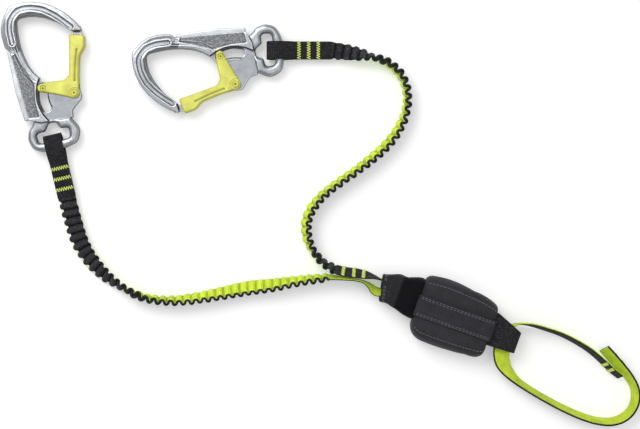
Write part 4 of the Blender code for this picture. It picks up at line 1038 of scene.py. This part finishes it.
# %% Pouch seams
SEAM_SHARE = 0.80
SEAM_DEPTH = 0.0007
seam_x = np.linspace(-0.0325, 0.0325, 45)
co = points_of(pouch.data)
x, y, z = co.T
z[:] = np.maximum(z, SEAT_GAP)
under_band = np.abs(y) < BAND_WIDTH / 2
z[:] = np.where(under_band, np.minimum(z, pouch_line(x, TALL, CROWN * POUCH_HEIGHT)), z)
for column in (HIGH, LOW):
    sunk = SEAM_DEPTH * hump(y, pouch_line(x, column, POUCH_WIDTH * SEAM_SHARE), 0.0009)
    z -= np.where(z > POUCH_HEIGHT * 0.45, sunk * rise(np.abs(x), 0.0335, -0.002), 0.0)
reshape(pouch, co)


def skin_of(piece):
    """The surface of a piece, ready to be hit by rays."""
    return BVHTree.FromPolygons([vertex.co.copy() for vertex in piece.data.vertices],
                                [tuple(polygon.vertices) for polygon in piece.data.polygons])


def on_skin(skin, start, way):
    """Where a ray meets a skin, a little proud of it, and the normal there."""
    spot, normal, _, _ = skin.ray_cast(start, way)
    return spot + normal * 0.0001, normal


skin = skin_of(pouch)
seam_lines = {}
for label, column, inset in (("upper", HIGH, -0.0016), ("lower", LOW, 0.0016)):
    sides = pouch_line(seam_x, column, POUCH_WIDTH * SEAM_SHARE) + inset
    seam_lines[label] = [on_skin(skin, Vector((x, side, 0.1)), Vector((0.0, 0.0, -1.0)))
                         for x, side in zip(seam_x, sides)]
pouch.data.transform(pouch_turn)
tidy_normals(pouch, 180.0)
print("pouch has", len(pouch.data.polygons), "faces")


# %% Fabric material
def fabric_material(name, thread, base, light, heather, middle=0.0, gloss=0.18, fold_shaded=False):
    """Woven pouch cloth on object coordinates, turned to the pouch's axis."""
    made, tree, place, clouds, grain = clouded(name, 70.0, 0.80, 1.20)
    turned = add(tree, "ShaderNodeMapping", {
        "Vector": place, "Rotation": (0.0, 0.0, math.radians(-POUCH_TURN))})
    along, across, up = parts(turned.outputs[0])
    relief, gap = use(tree, weave, {
        "Along": along, "Across": across - (across - middle).maths("SIGN") * up, "Thread": thread})
    fleck = ramped(grain, ((0.50, 0.0), (0.64, 1.0))) * heather
    # The weave's relief mixes two tones: base is painted shade in the gaps between threads, and light is painted light
    # on the thread tops.
    colour = times(mixed(fleck, mixed(relief, base, light), BLACK_YARN_FLECK), clouds)
    # The sleeve's part by the pouch is painted nearly black: painted shade of the deep fold there.
    if fold_shaded:
        colour = mixed(kept(tree, "painted_fold_shade"), colour, (0.005, 0.005, 0.006))
    folds = bumped(noise(place, 150.0, 3.0, distortion=0.8), 0.35, 0.0012)
    painted(tree, {**SHEEN, "Base Color": colour, "Specular IOR Level": gloss,
                   "Roughness": gap.maths("MULTIPLY_ADD", 0.3, 0.60, clamp=True),
                   "Normal": bumped(relief, 0.6, thread * 0.4, folds)})
    return made


pouch_fabric = fabric_material("pouch_fabric_cloth", 0.0007, (0.005, 0.005, 0.007),
                               (0.028, 0.028, 0.035), 0.22, gloss=0.34)
band_fabric = fabric_material("band_fabric_cloth", 0.0010, (0.006, 0.006, 0.009),
                              (0.036, 0.036, 0.045), 0.30)
sleeve_fabric = fabric_material("sleeve_knit_cloth", 0.0008, (0.004, 0.004, 0.005),
                                (0.030, 0.030, 0.035), 0.40, middle=0.005, gloss=0.10, fold_shaded=True)
dress(pouch, pouch_fabric, "pouch_fabric", "pouch_shell")
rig.padded(pouch, fill=0.7)

# %% [markdown]
# ## The band, its stitching and the sleeve
# A broad band lies over the pouch from end to end. It is a flat grid drawn
# down onto the pouch's profile, given a thickness by Solidify, and sewn along
# both edges with two rows of short stitches. The sleeve is a loft of rounded
# sections with soft folds, and its mouth has a rolled hem. The part that runs
# into the pouch is painted nearly black: painted shade of the deep fold there.


# %% Band
def band_level(x):
    """Where the underside of the band lies."""
    return pouch_line(x, TALL, CROWN * POUCH_HEIGHT) + SEAT_GAP


bpy.ops.object.select_all(action="DESELECT")
bpy.ops.mesh.primitive_grid_add(x_subdivisions=96, y_subdivisions=24, size=1.0)
band = bpy.context.object
band.name = "pouch_band_cloth"
co = points_of(band.data)
x, y = co[:, 0] * POUCH_LENGTH * 0.995, co[:, 1] * BAND_WIDTH
inward = BAND_WIDTH / 2 - np.abs(y)
quilt = 0.00022 * np.sin(math.pi * inward / (BAND_WIDTH / 2))
ripple = 0.00016 * np.sin(x * 420.0 + 2.0 * np.sin(y * 300.0)) * (1.0 - np.abs(y) / BAND_WIDTH)
sewn_down = 0.0003 * (1.0 - np.minimum(1.0, inward / 0.0016))
reshape(band, np.stack((x, y, band_level(x) + quilt + ripple - sewn_down), axis=1))
modified(band, "SOLIDIFY", thickness=BAND_THICK - 0.0002, offset=1.0)
bevelled(band, 0.0004)
band.data.transform(pouch_turn)
tidy_normals(band, 60.0)
dress(band, band_fabric, "pouch_fabric", "pouch_band")

# %% Stitches
STITCH = 0.0023
STITCH_GAP = 0.0009
THREAD = 0.00055
stitch_finish, tree, place, clouds, grain = clouded("grey_thread", 300.0)
painted(tree, {"Base Color": times((0.17, 0.17, 0.185), clouds), "Roughness": grain * 0.3 + 0.5,
               "Normal": bumped(grain, 0.5, 0.0001)})
stitch = thread_bit(THREAD / 2, STITCH, THREAD * 0.22)


def stitched(name, line, matrix):
    """Stitches along a line of (place, face) pairs, joined into one piece."""
    walked = [0.0]
    for (a, _), (b, _) in zip(line, line[1:]):
        walked.append(walked[-1] + (b - a).length)
    count = int(walked[-1] // (STITCH + STITCH_GAP))
    copies = []
    for number in range(count):
        at = (number + 0.5) * walked[-1] / count
        index = max(i for i, w in enumerate(walked[:-1]) if w <= at)
        (start, face), (end, _) = line[index:index + 2]
        spot = start.lerp(end, (at - walked[index]) / (walked[index + 1] - walked[index]))
        along = (end - start).normalized()
        face = (face - along * face.dot(along)).normalized()
        piece = linked(name, stitch.data.copy())
        piece.data.transform(matrix @ basis(spot, along, face.cross(along), face))
        copies.append(piece)
    pick(*copies)
    bpy.ops.object.join()
    made = bpy.context.object
    made.name = name
    dress(made, stitch_finish, "pouch_fabric")


UP = Vector((0.0, 0.0, 1.0))
for edge_name, side in (("upper", 1), ("lower", -1)):
    for row, inset in enumerate((0.0012, 0.0027), 1):
        y = side * (BAND_WIDTH / 2 - inset)
        line = [(Vector((x, y, band_level(x) + BAND_THICK + 0.0001)), UP)
                for x in np.linspace(-0.0345, 0.0345, 40)]
        stitched(f"band_stitch_{edge_name}_{row}", line, pouch_turn)
    stitched(f"pouch_seam_{edge_name}", seam_lines[edge_name], pouch_turn)
print("band sewn on")

# %% Sleeve
SLEEVE_ROUTE = ((-0.0655, 0.0268), (-0.0560, 0.0252), (-0.0450, 0.0214))
SLEEVE_SIDE = 0.0051
SLEEVE_MOUTH_WIDTH = 0.0240
SLEEVE_HEIGHT = 0.0196
SLEEVE_ROUNDNESS = 0.35
SECTION_STEPS = 18
turn = Matrix.Rotation(math.radians(POUCH_TURN), 2)
first = POUCH_SHARES[0]
mouth = pouch_section(
    first[LOW] * POUCH_WIDTH, first[HIGH] * POUCH_WIDTH, first[TALL] * POUCH_HEIGHT, first[4])
slim = []
for step in range(SECTION_STEPS):
    angle = math.tau * (step + 1 / 2) / SECTION_STEPS
    slim.append((SLEEVE_MOUTH_WIDTH / 2 * squared(math.sin(angle), SLEEVE_ROUNDNESS),
                 TABLE_GAP + SLEEVE_HEIGHT / 2 * (1 + squared(math.cos(angle), SLEEVE_ROUNDNESS))))
sleeve_end = turn @ Vector((-POUCH_LENGTH / 2 - SEAT_GAP, SLEEVE_SIDE))
route = smooth((*SLEEVE_ROUTE, sleeve_end), 8)
last = len(route) - 1
rings = []
for index, spot in enumerate(route):
    share = index / last
    along = (route[min(index + 1, last)] - route[max(index - 1, 0)]).normalized()
    if index == last:
        along = turn @ Vector((1.0, 0.0))
    across = Vector((-along.y, along.x))
    ring = []
    for (side, up), (end_side, end_up) in zip(slim, mouth):
        place = spot + across * (side + (end_side - SLEEVE_SIDE - side) * eased(share))
        ring.append(Vector((*place, up + (end_up - up) * eased(share))))
    ring = smooth(ring + ring[:1], 4)[:-1]
    centre = sum(ring, Vector()) / len(ring)
    fold = math.sin(math.pi * share) ** 0.6
    hem = 0.0006 * hump(share, 0.07, 0.05)
    pinch = 0.0013 * hump(share, 0.66, 0.14)
    for number, point in enumerate(ring):
        around = math.tau * number / len(ring)
        out = (point - centre).normalized()
        amount = fold * (0.0008 * math.sin(3 * around + 9 * share)
                         + 0.0006 * math.sin(5 * around - 13 * share))
        gathers = pinch * 0.3 * (1.0 + math.sin(17 * around))
        sideways = Vector((out.x, out.y, out.z * 0.12))
        ring[number] = point + out * (amount * 0.6 + hem) - sideways * (pinch + gathers)
        ring[number].z = max(ring[number].z, TABLE_GAP)
    rings.append(ring)
into = Vector((*(turn @ Vector((1.0, 0.0))), 0.0))
for share in (0.97, 0.92):
    middle = sum(rings[-1], Vector()) / len(rings[-1])
    rings.append([middle + (point - middle) * share + into * 0.0014 for point in rings[-1]])
sleeve = tube("neck_sleeve_cloth", rings, closed=False)
tidy_normals(sleeve)
# A value that marks where the sleeve runs into the pouch, for its painted fold shade.
rows = np.repeat(np.arange(len(rings)) / last, len(rings[0]))
keep_value(sleeve, "painted_fold_shade", rise(rows, 0.50, 0.05))
modified(sleeve, "SOLIDIFY", thickness=SLEEVE_WALL, offset=-1.0)
modified(sleeve, "SUBSURF", levels=1, render_levels=1)
co = points_of(sleeve.data)
co[:, 2] = np.maximum(co[:, 2], TABLE_GAP)
reshape(sleeve, co)
tidy_normals(sleeve, 60.0)
dress(sleeve, sleeve_fabric, "pouch_fabric", "neck_sleeve")
skin = skin_of(sleeve)
for row, ring in enumerate(rings[2:4], 1):
    middle = sum(ring, Vector()) / len(ring)
    line = [on_skin(skin, middle + (point - middle) * 1.5, middle - point)
            for point in ring if point.z > 0.004]
    stitched(f"sleeve_hem_stitch_{row}", line, Matrix())
bpy.data.objects.remove(stitch, do_unlink=True)
print("sleeve done")

# %% [markdown]
# ## The forged carabiner frame
# The real frame is hot forged: every edge is rounded, a groove with raised lips
# runs along the hook, and the grip panel is sunk and rough. A voxel remesh of
# the solid gives an even skin. The outline's straight pieces are pushed out to
# the arcs that they stand for, smoothing rounds the edges as a forging die
# does, and small moves of the skin add the lips and rims. A hollow-or-edge
# value is kept in every point, so that the material can paint the edges
# lighter, partly as wear and partly as painted highlight, and paint shade into
# the hollows. A second kept value holds painted shade on walls and bands.

# %% Carabiner places
joints = {joint["name"]: joint for joint in frame["joints"]}


def carabiner_stand(side):
    """Matrix from a carabiner's own frame to the table."""
    bar, gate = joints[f"carabiner_{side}_swing"], joints[f"gate_{side}_open"]
    across, up = Vector(bar["axis"]).normalized(), Vector(gate["axis"]).normalized()
    return basis(Vector(bar["pos_m"]), across, up.cross(across), up)


STANDS = {side: carabiner_stand(side) for side in "ab"}
PIVOT = STANDS["a"].inverted() @ Vector(joints["gate_a_open"]["pos_m"])
LENGTH = 0.136
HOOK_LINE = [Vector(place) * LENGTH for place in (
    (-0.123, 0.713), (-0.124, 0.794), (-0.106, 0.864), (-0.048, 0.918), (0.037, 0.920),
    (0.118, 0.892), (0.191, 0.837), (0.254, 0.769), (0.279, 0.741))]
SPINE_LINE = [Vector(place) * LENGTH for place in (
    (-0.118, 0.690), (-0.104, 0.600), (-0.078, 0.500), (-0.040, 0.440), (0.010, 0.405))]


# %% Distances and hollows of a skin
def beside(points, a, b):
    """A straight piece, and for each point the way from its start, the share along it, the distance."""
    ab = np.array(b - a)
    rel = points[:, :2] - np.array(a)
    share = np.clip(rel @ ab / (ab @ ab), 0.0, 1.0)
    return ab, rel, share, np.linalg.norm(rel - share[:, None] * ab, axis=1)


def line_distance(points, line):
    """Signed distance in the plane from each point to a polyline, left of it positive."""
    best = np.full(len(points), 1e9)
    signed = np.zeros(len(points))
    for a, b in zip(line, line[1:]):
        ab, rel, _, size = beside(points, a, b)
        cross = ab[0] * rel[:, 1] - ab[1] * rel[:, 0]
        closer = size < best
        best = np.where(closer, size, best)
        signed = np.where(closer, np.sign(cross) * size, signed)
    return signed


def hollow_values(mesh, rounds):
    """How hollow, above 0, or edge-like, below 0, the skin is at each point."""
    co = points_of(mesh)
    ends = np.empty(len(mesh.edges) * 2, dtype=np.int64)
    mesh.edges.foreach_get("vertices", ends)
    ends = ends.reshape(-1, 2)
    degree = np.bincount(ends.ravel(), minlength=len(co))[:, None]
    even = co.copy()
    for _ in range(rounds):
        total = np.zeros_like(even)
        for axis in range(3):
            for one, other in (ends.T, ends.T[::-1]):
                total[:, axis] += np.bincount(one, even[other, axis], len(co))
        even = total / np.maximum(degree, 1)
    return ((even - co) * points_of(mesh, "normal")).sum(axis=1)


def steepness(up):
    """1 on walls that stand up, 0 on faces that lie flat."""
    return rise(np.abs(up), 0.70, -0.4)


# %% A rounder outline
LONG_FACET = 0.0045
LONGEST_FACET = 0.0240
SHARPEST_TURN = math.radians(55.0)
MOST_BULGE = 0.0012


def turn_between(before, after):
    """Turn to the left from one way to the next, in radians."""
    return math.atan2(before.x * after.y - before.y * after.x, before.dot(after))


def outline_loops(mesh, level):
    """Closed loops of points round a solid at a height."""
    cut = bmesh.new()
    cut.from_mesh(mesh)
    found = bmesh.ops.bisect_plane(cut, geom=cut.verts[:] + cut.edges[:] + cut.faces[:],
                                   plane_co=(0, 0, level), plane_no=(0, 0, 1))["geom_cut"]
    after = {}
    for edge in found:
        if isinstance(edge, bmesh.types.BMEdge) and edge.calc_length() > 1e-6:
            keys = [(round(v.co.x, 5), round(v.co.y, 5)) for v in edge.verts]
            for a, b in (keys, keys[::-1]):
                if a != b:
                    after.setdefault(a, set()).add(b)
    cut.free()
    while after:
        start = here = min(after)
        loop = []
        while here in after:
            loop.append(Vector(here))
            others = sorted(after.pop(here))
            here = next((key for key in others if key in after), start)
        loop = [point for index, point in enumerate(loop) if (point - loop[index - 1]).length > 0.0002]
        yield [point for index, point in enumerate(loop)
               if abs(turn_between(point - loop[index - 1], loop[(index + 1) % len(loop)] - point)) > 0.02]


def outline_pieces(mesh, level):
    """Straight pieces of an outline: start, end, and the turn at both, 0 on short or sharp ones."""
    pieces = []
    for loop in outline_loops(mesh, level):
        nexts = loop[1:] + loop[:1]
        ways = [b - a for a, b in zip(loop, nexts)]
        rest = []
        for index, (a, b, way) in enumerate(zip(loop, nexts, ways)):
            if not LONG_FACET < way.length < LONGEST_FACET:
                rest.append((a, b, 0.0, 0.0))
                continue
            turns = []
            for step in (-1, 1):
                other = (index + step) % len(loop)
                while ways[other].length < LONG_FACET and other != index:
                    other = (other + step) % len(loop)
                turn = turn_between(*(ways[other], way)[::-step])
                turns.append(turn if abs(turn) < SHARPEST_TURN else 0.0)
            pieces.append((a, b, *turns))
        pieces += rest
    return pieces


def rounded_outline(piece, pieces, reach):
    """Push each facet of the outline out to the arc that it stands for."""
    co = points_of(piece.data)
    best = np.full(len(co), 1e9)
    push = np.zeros((len(co), 2))
    for a, b, turn_a, turn_b in pieces:
        ab, _, share, size = beside(co, a, b)
        span = np.linalg.norm(ab)
        bulge = 4 * share * (1 - share) * span * (turn_a * (1 - share) + turn_b * share) / 8
        outward = np.array((ab[1], -ab[0])) / span
        closer = size < best
        best = np.where(closer, size, best)
        push = np.where(closer[:, None], np.clip(bulge, -MOST_BULGE, MOST_BULGE)[:, None] * outward, push)
    co[:, :2] += push * eased(rise(best, reach, -reach))[:, None]
    reshape(piece, co)


def forged_copy(node, name, voxel, iterations, level=None):
    """Remeshed and rounded copy of one of carabiner a's solids, in the carabiner's own frame."""
    piece = copy_of(node, name)
    piece.data.transform(STANDS["a"].inverted())
    pieces = outline_pieces(piece.data, level) if level else []
    modified(piece, "REMESH", mode="VOXEL", voxel_size=voxel)
    if pieces:
        print(name, "outline has", len(pieces), "straight pieces")
        rounded_outline(piece, pieces, 0.0050)
    modified(piece, "SMOOTH", factor=0.5, iterations=iterations)
    return piece


# %% Frame shape
SLOT_RADIUS = 0.2081 * LENGTH
SLOT_HALF = 0.0040
WEB_TOP = 0.0044
HOLLOW_SCALE = 0.0003
PANEL_EDGE = ((0.0271, 0.0400, 0.0573, 0.0736, 0.0873), (-0.0065, -0.0072, -0.0048, -0.0114, -0.0160))
voxel, rounds = (0.0009, 2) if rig.quick() else (0.00048, 6)
body = forged_copy("carabiner_a_frame", "frame_model", voxel, rounds // 2 + 1, 0.0030)
co = points_of(body.data)
x, y, z = co.T.copy()
level = np.abs(z)
up = points_of(body.data, "normal")[:, 2]
hook = line_distance(co, HOOK_LINE)
spine = np.abs(line_distance(co, SPINE_LINE))
from_pivot = np.hypot(x - PIVOT.x, y - PIVOT.y)
near_slot = np.abs(np.abs(from_pivot - SLOT_RADIUS) - SLOT_HALF)
angle = np.degrees(np.arctan2(y - PIVOT.y, x - PIVOT.x)) % 360.0
along_slot = rise(angle, 148.0, 8.0) * rise(angle, 206.0, -8.0)
web = (level > 0.0028) & (level < 0.0040)
lips = 0.00028 * hump(np.abs(hook), 0.0030, 0.0005)
lips += 0.00030 * (hump(spine, 0.0004, 0.0006) + hump(spine, 0.0024, 0.0004))
lips *= level > WEB_TOP
lips += 0.00015 * hump(near_slot, 0.0020, 0.0007) * web * along_slot
co[:, 2] += rise(np.abs(up), 0.6, 0.3) * np.sign(z) * lips
reshape(body, co)
hollow = hollow_values(body.data, rounds) / HOLLOW_SCALE

# %% Values for the frame's material
level = np.abs(co[:, 2])
panel = rise(x, np.interp(y, *PANEL_EDGE), -0.0006) * (level > 0.0036)
panel *= rise(y, 0.0280, 0.0006) * rise(y, 0.0868, -0.0006)
on_hook = (y > 0.058) & (np.abs(hook) < 0.010) & (x < 0.034)
# The inner and outer bands are painted shade: the hook's inner flank and its outer flange.
inner = rise(hook, -0.0032, -0.0012) * on_hook
outer = rise(hook, 0.0031, 0.0010) * on_hook * rise(x, -0.013, -0.006)
# Painted shadow of the slot's walls along both its edges.
slot_shadow = rise(near_slot, 0.0015, -0.0004) * along_slot * (level < WEB_TOP)
keep_value(body, "hollow", hollow * (1.0 - 0.75 * steepness(up)) * (1.0 - slot_shadow))
keep_value(body, "panel", panel)
# Painted shade: the hook's inner flank and outer flange, steep walls as a painted dark reflection, the slot's edges as
# painted shadow, and the web a little darker.
painted_shade = (inner * 0.95, outer * 0.65, steepness(up) * 0.9, slot_shadow, web * 0.16)
keep_value(body, "painted_shade", np.max(painted_shade, axis=0))
print("hollow values", np.round(np.percentile(hollow, (2, 10, 25, 50, 75, 90, 98)), 2))
print("frame skin has", len(body.data.polygons), "faces")

# %% [markdown]
# ## Metal finishes
# The frame is satin aluminium with tumbled edges and a dark, grainy grip panel.
# One group turns the kept hollow value into two masks, edge and hollow shade,
# and breaks them up with noise, as handling does. The frame's edges are painted
# lighter, partly as wear and partly as painted highlight, the gate's edges
# darker as painted shade, and the hollows get painted shade.

# %% Node group: edge wear and painted shade
# The edge mask takes each material's edge colour: partly wear and painted highlight on the frame, painted shade on the
# gate. The other mask paints shade into the hollows.
wear_and_painted_shade, (place, hollow, size), result = group(
    "edge_wear_and_painted_shade", {"Place": None, "Hollow": 0.0, "Size": 260.0}, ("Edge", "Hollow_Shade", "Grain"))
broken = noise(place, size, 5.0, 0.65) * 0.9 + 0.55
for label, strength in (("Edge", -1.5), ("Hollow_Shade", 1.8)):
    put(result.inputs[label], (hollow * strength - 0.22).maths("MULTIPLY", broken, clamp=True))
put(result.inputs["Grain"], noise(place, size * 9.0, 3.0, 0.6))


def metal_material(name, base, edge_colour, dark, painted_shade_colour, rough, panel_colour=None, metallic=1.0):
    """Worn metal or anodised finish that reads the kept point values: painted shade in the hollows and on steep walls,
    and an edge colour that is partly wear and painted highlight on the frame and painted shade on the gate.
    """
    made, tree, place, clouds, spots = clouded(name, 110.0, 0.74, 1.10)
    edge, hollow_shade, grain = use(tree, wear_and_painted_shade, {"Place": place, "Hollow": kept(tree, "hollow")})
    colour = times(times(base, clouds), grain * 0.56 + 0.72)
    # Painted shade on steep walls and bands, from the kept value.
    colour = mixed(kept(tree, "painted_shade"), colour, painted_shade_colour)
    roughness = (spots - 0.5) * 0.16 + rough
    normal = bumped(grain, 0.16, 0.0002)
    if panel_colour:
        panel = kept(tree, "panel")
        knurl = Value(add(tree, "ShaderNodeTexVoronoi", {"Vector": place, "Scale": 620.0}).outputs[0])
        pits = ramped(knurl, ((0.10, 1.0), (0.62, 0.42)))
        colour = mixed(panel * 0.92, colour, times(panel_colour, pits))
        roughness = roughness + panel * 0.2
        normal = bumped(knurl * panel, 0.9, 0.0003, normal)
    # Painted shade in the hollows first, then the edge colour on the edges.
    painted(tree, {"Base Color": mixed(edge, mixed(hollow_shade, colour, dark), edge_colour),
                   "Roughness": roughness, "Metallic": metallic, "Normal": normal})
    return made


forged = metal_material("forged_satin_aluminium", (0.41, 0.43, 0.46), (0.74, 0.76, 0.79),
                        (0.05, 0.054, 0.062), (0.055, 0.059, 0.067), 0.36, panel_colour=(0.34, 0.35, 0.37))
# The gate's edge colour is darker than its base: painted shade along its edges; its hollows and steep walls get
# painted shade too.
anodised = metal_material("yellow_anodised_gate", (0.76, 0.76, 0.14), (0.50, 0.49, 0.05),
                          (0.22, 0.20, 0.02), (0.40, 0.38, 0.03), 0.44, metallic=0.1)
lever_metal = metal_material("bright_lever_aluminium", (0.56, 0.58, 0.61), (0.78, 0.79, 0.81),
                             (0.12, 0.13, 0.15), (0.17, 0.18, 0.20), 0.36)
steel = metal_material("steel_pins_and_springs", (0.52, 0.52, 0.54), (0.80, 0.80, 0.82),
                       (0.14, 0.14, 0.15), (0.20, 0.20, 0.21), 0.28)


# %% Place the frame twice
def placed(model, side, name, finish, body_name, slot, node):
    """A copy of a model with its own mesh, in the place of one of the carabiners."""
    piece = linked(f"carabiner_{side}_{name}", model.data.copy())
    piece.data.transform(STANDS[side])
    pick(piece)
    bpy.ops.object.shade_smooth()
    dress(piece, finish, slot, f"carabiner_{side}_{node}", f"{body_name}_{side}")


for side in "ab":
    placed(body, side, "forging", forged, "carabiner", "forged_aluminium", "frame")
bpy.data.objects.remove(body, do_unlink=True)

# %% [markdown]
# ## Gate, lever and rivets
# The gate is a yellow L with two cheeks. It gets the same rounding as the
# frame and a raised ring round its pivot, and its groove stays as the solid has
# it. Its edges and steep walls are painted darker as painted shade. The palm
# lever is a bright strip. Rivets, pins and springs keep the solid's own shape:
# a turned head is already round, and only its finish has to be added, with a
# dark line round the head and a punched dot painted dark as painted shade in
# its dimple.

# %% Rivet heads
DOT_RADIUS = 0.0009
RIM_RADIUS = 0.0026
low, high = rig.box("carabiner_a_lock_pin")
PIN_MIDDLE = STANDS["a"].inverted() @ ((Vector(low) + Vector(high)) / 2)


def head_material(name, side, middle):
    """Yellow head round a pin's axis, with a dark rim line and a punched dot painted dark as painted shade in its
    dimple.
    """
    made, tree, place, clouds, grain = clouded(name, 400.0)
    centred = add(tree, "ShaderNodeMapping", {"Vector": place, "Location": -(STANDS[side] @ middle)})
    x, y, _ = parts(centred.outputs[0])
    radius = (x * x + y * y).maths("SQRT")
    # The punched dot is painted dark as painted shade in its dimple; the dark rim is the line round the head.
    dot = radius.maths("LESS_THAN", DOT_RADIUS)
    dark = (radius.maths("GREATER_THAN", RIM_RADIUS) * 0.55).maths("MAXIMUM", dot) * 0.9
    painted(tree, {"Base Color": mixed(dark, times((0.66, 0.66, 0.08), clouds), (0.05, 0.05, 0.03)),
                   "Roughness": grain * 0.2 + 0.34, "Metallic": 0.2,
                   "Normal": bumped(dot * -1.0 + 1.0, 0.7, 0.0003)})
    return made


# %% Gate and lever
GATE_HOLLOW_SCALE = 0.00022
voxel = 0.0007 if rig.quick() else 0.00038
gate = forged_copy("carabiner_a_gate", "gate_model", voxel, 3)
co = points_of(gate.data)
up = points_of(gate.data, "normal")[:, 2]
from_pivot = np.hypot(co[:, 0] - PIVOT.x, co[:, 1] - PIVOT.y)
ring = 0.00030 * hump(from_pivot, 0.0053, 0.0005) * (np.abs(co[:, 2]) > 0.0048)
co[:, 2] += rise(np.abs(up), 0.7, 0.2) * np.sign(co[:, 2]) * ring
reshape(gate, co)
lever = forged_copy("carabiner_a_palm_lever", "lever_model", voxel, 2)
lever_up = points_of(lever.data, "normal")[:, 2]
# Painted shade on the steep walls of the gate and the lever.
for model, facing, share in ((gate, up, 0.75), (lever, lever_up, 0.8)):
    keep_value(model, "hollow", hollow_values(model.data, rounds) / GATE_HOLLOW_SCALE)
    keep_value(model, "painted_shade", steepness(facing) * share)
for side in "ab":
    placed(gate, side, "gate_body", anodised, "gate", "yellow_anodised", "gate")
    placed(lever, side, "lever_strip", lever_metal, "lever", "lever_aluminium", "palm_lever")
    for piece, finish in (("gate_rivet", head_material(f"rivet_head_{side}", side, PIVOT)),
                          ("lock_pin", head_material(f"pin_end_{side}", side, PIN_MIDDLE)),
                          ("lever_rivet", steel), ("gate_spring", steel), ("lever_spring", steel)):
        node = frame["nodes"][f"carabiner_{side}_{piece}"]
        node.data.materials.clear()
        node.data.materials.append(finish)
print("gate", len(gate.data.polygons), "faces, lever", len(lever.data.polygons), "faces")
bpy.data.objects.remove(gate, do_unlink=True)
bpy.data.objects.remove(lever, do_unlink=True)

# %% [markdown]
# ## The last look at the size
# The dressed lanyard has to keep within the solid's box, apart from a little
# cloth, so both boxes are written down before the scene is closed.

# %% Finish
looks_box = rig.bounds()
sizes = {"cad": [[float(v) for v in corner] for corner in cad_box],
         "looks": [[float(v) for v in corner] for corner in looks_box]}
pathlib.Path("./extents.json").write_text(json.dumps(sizes))
print("box with looks", [[round(v, 4) for v in corner] for corner in looks_box])
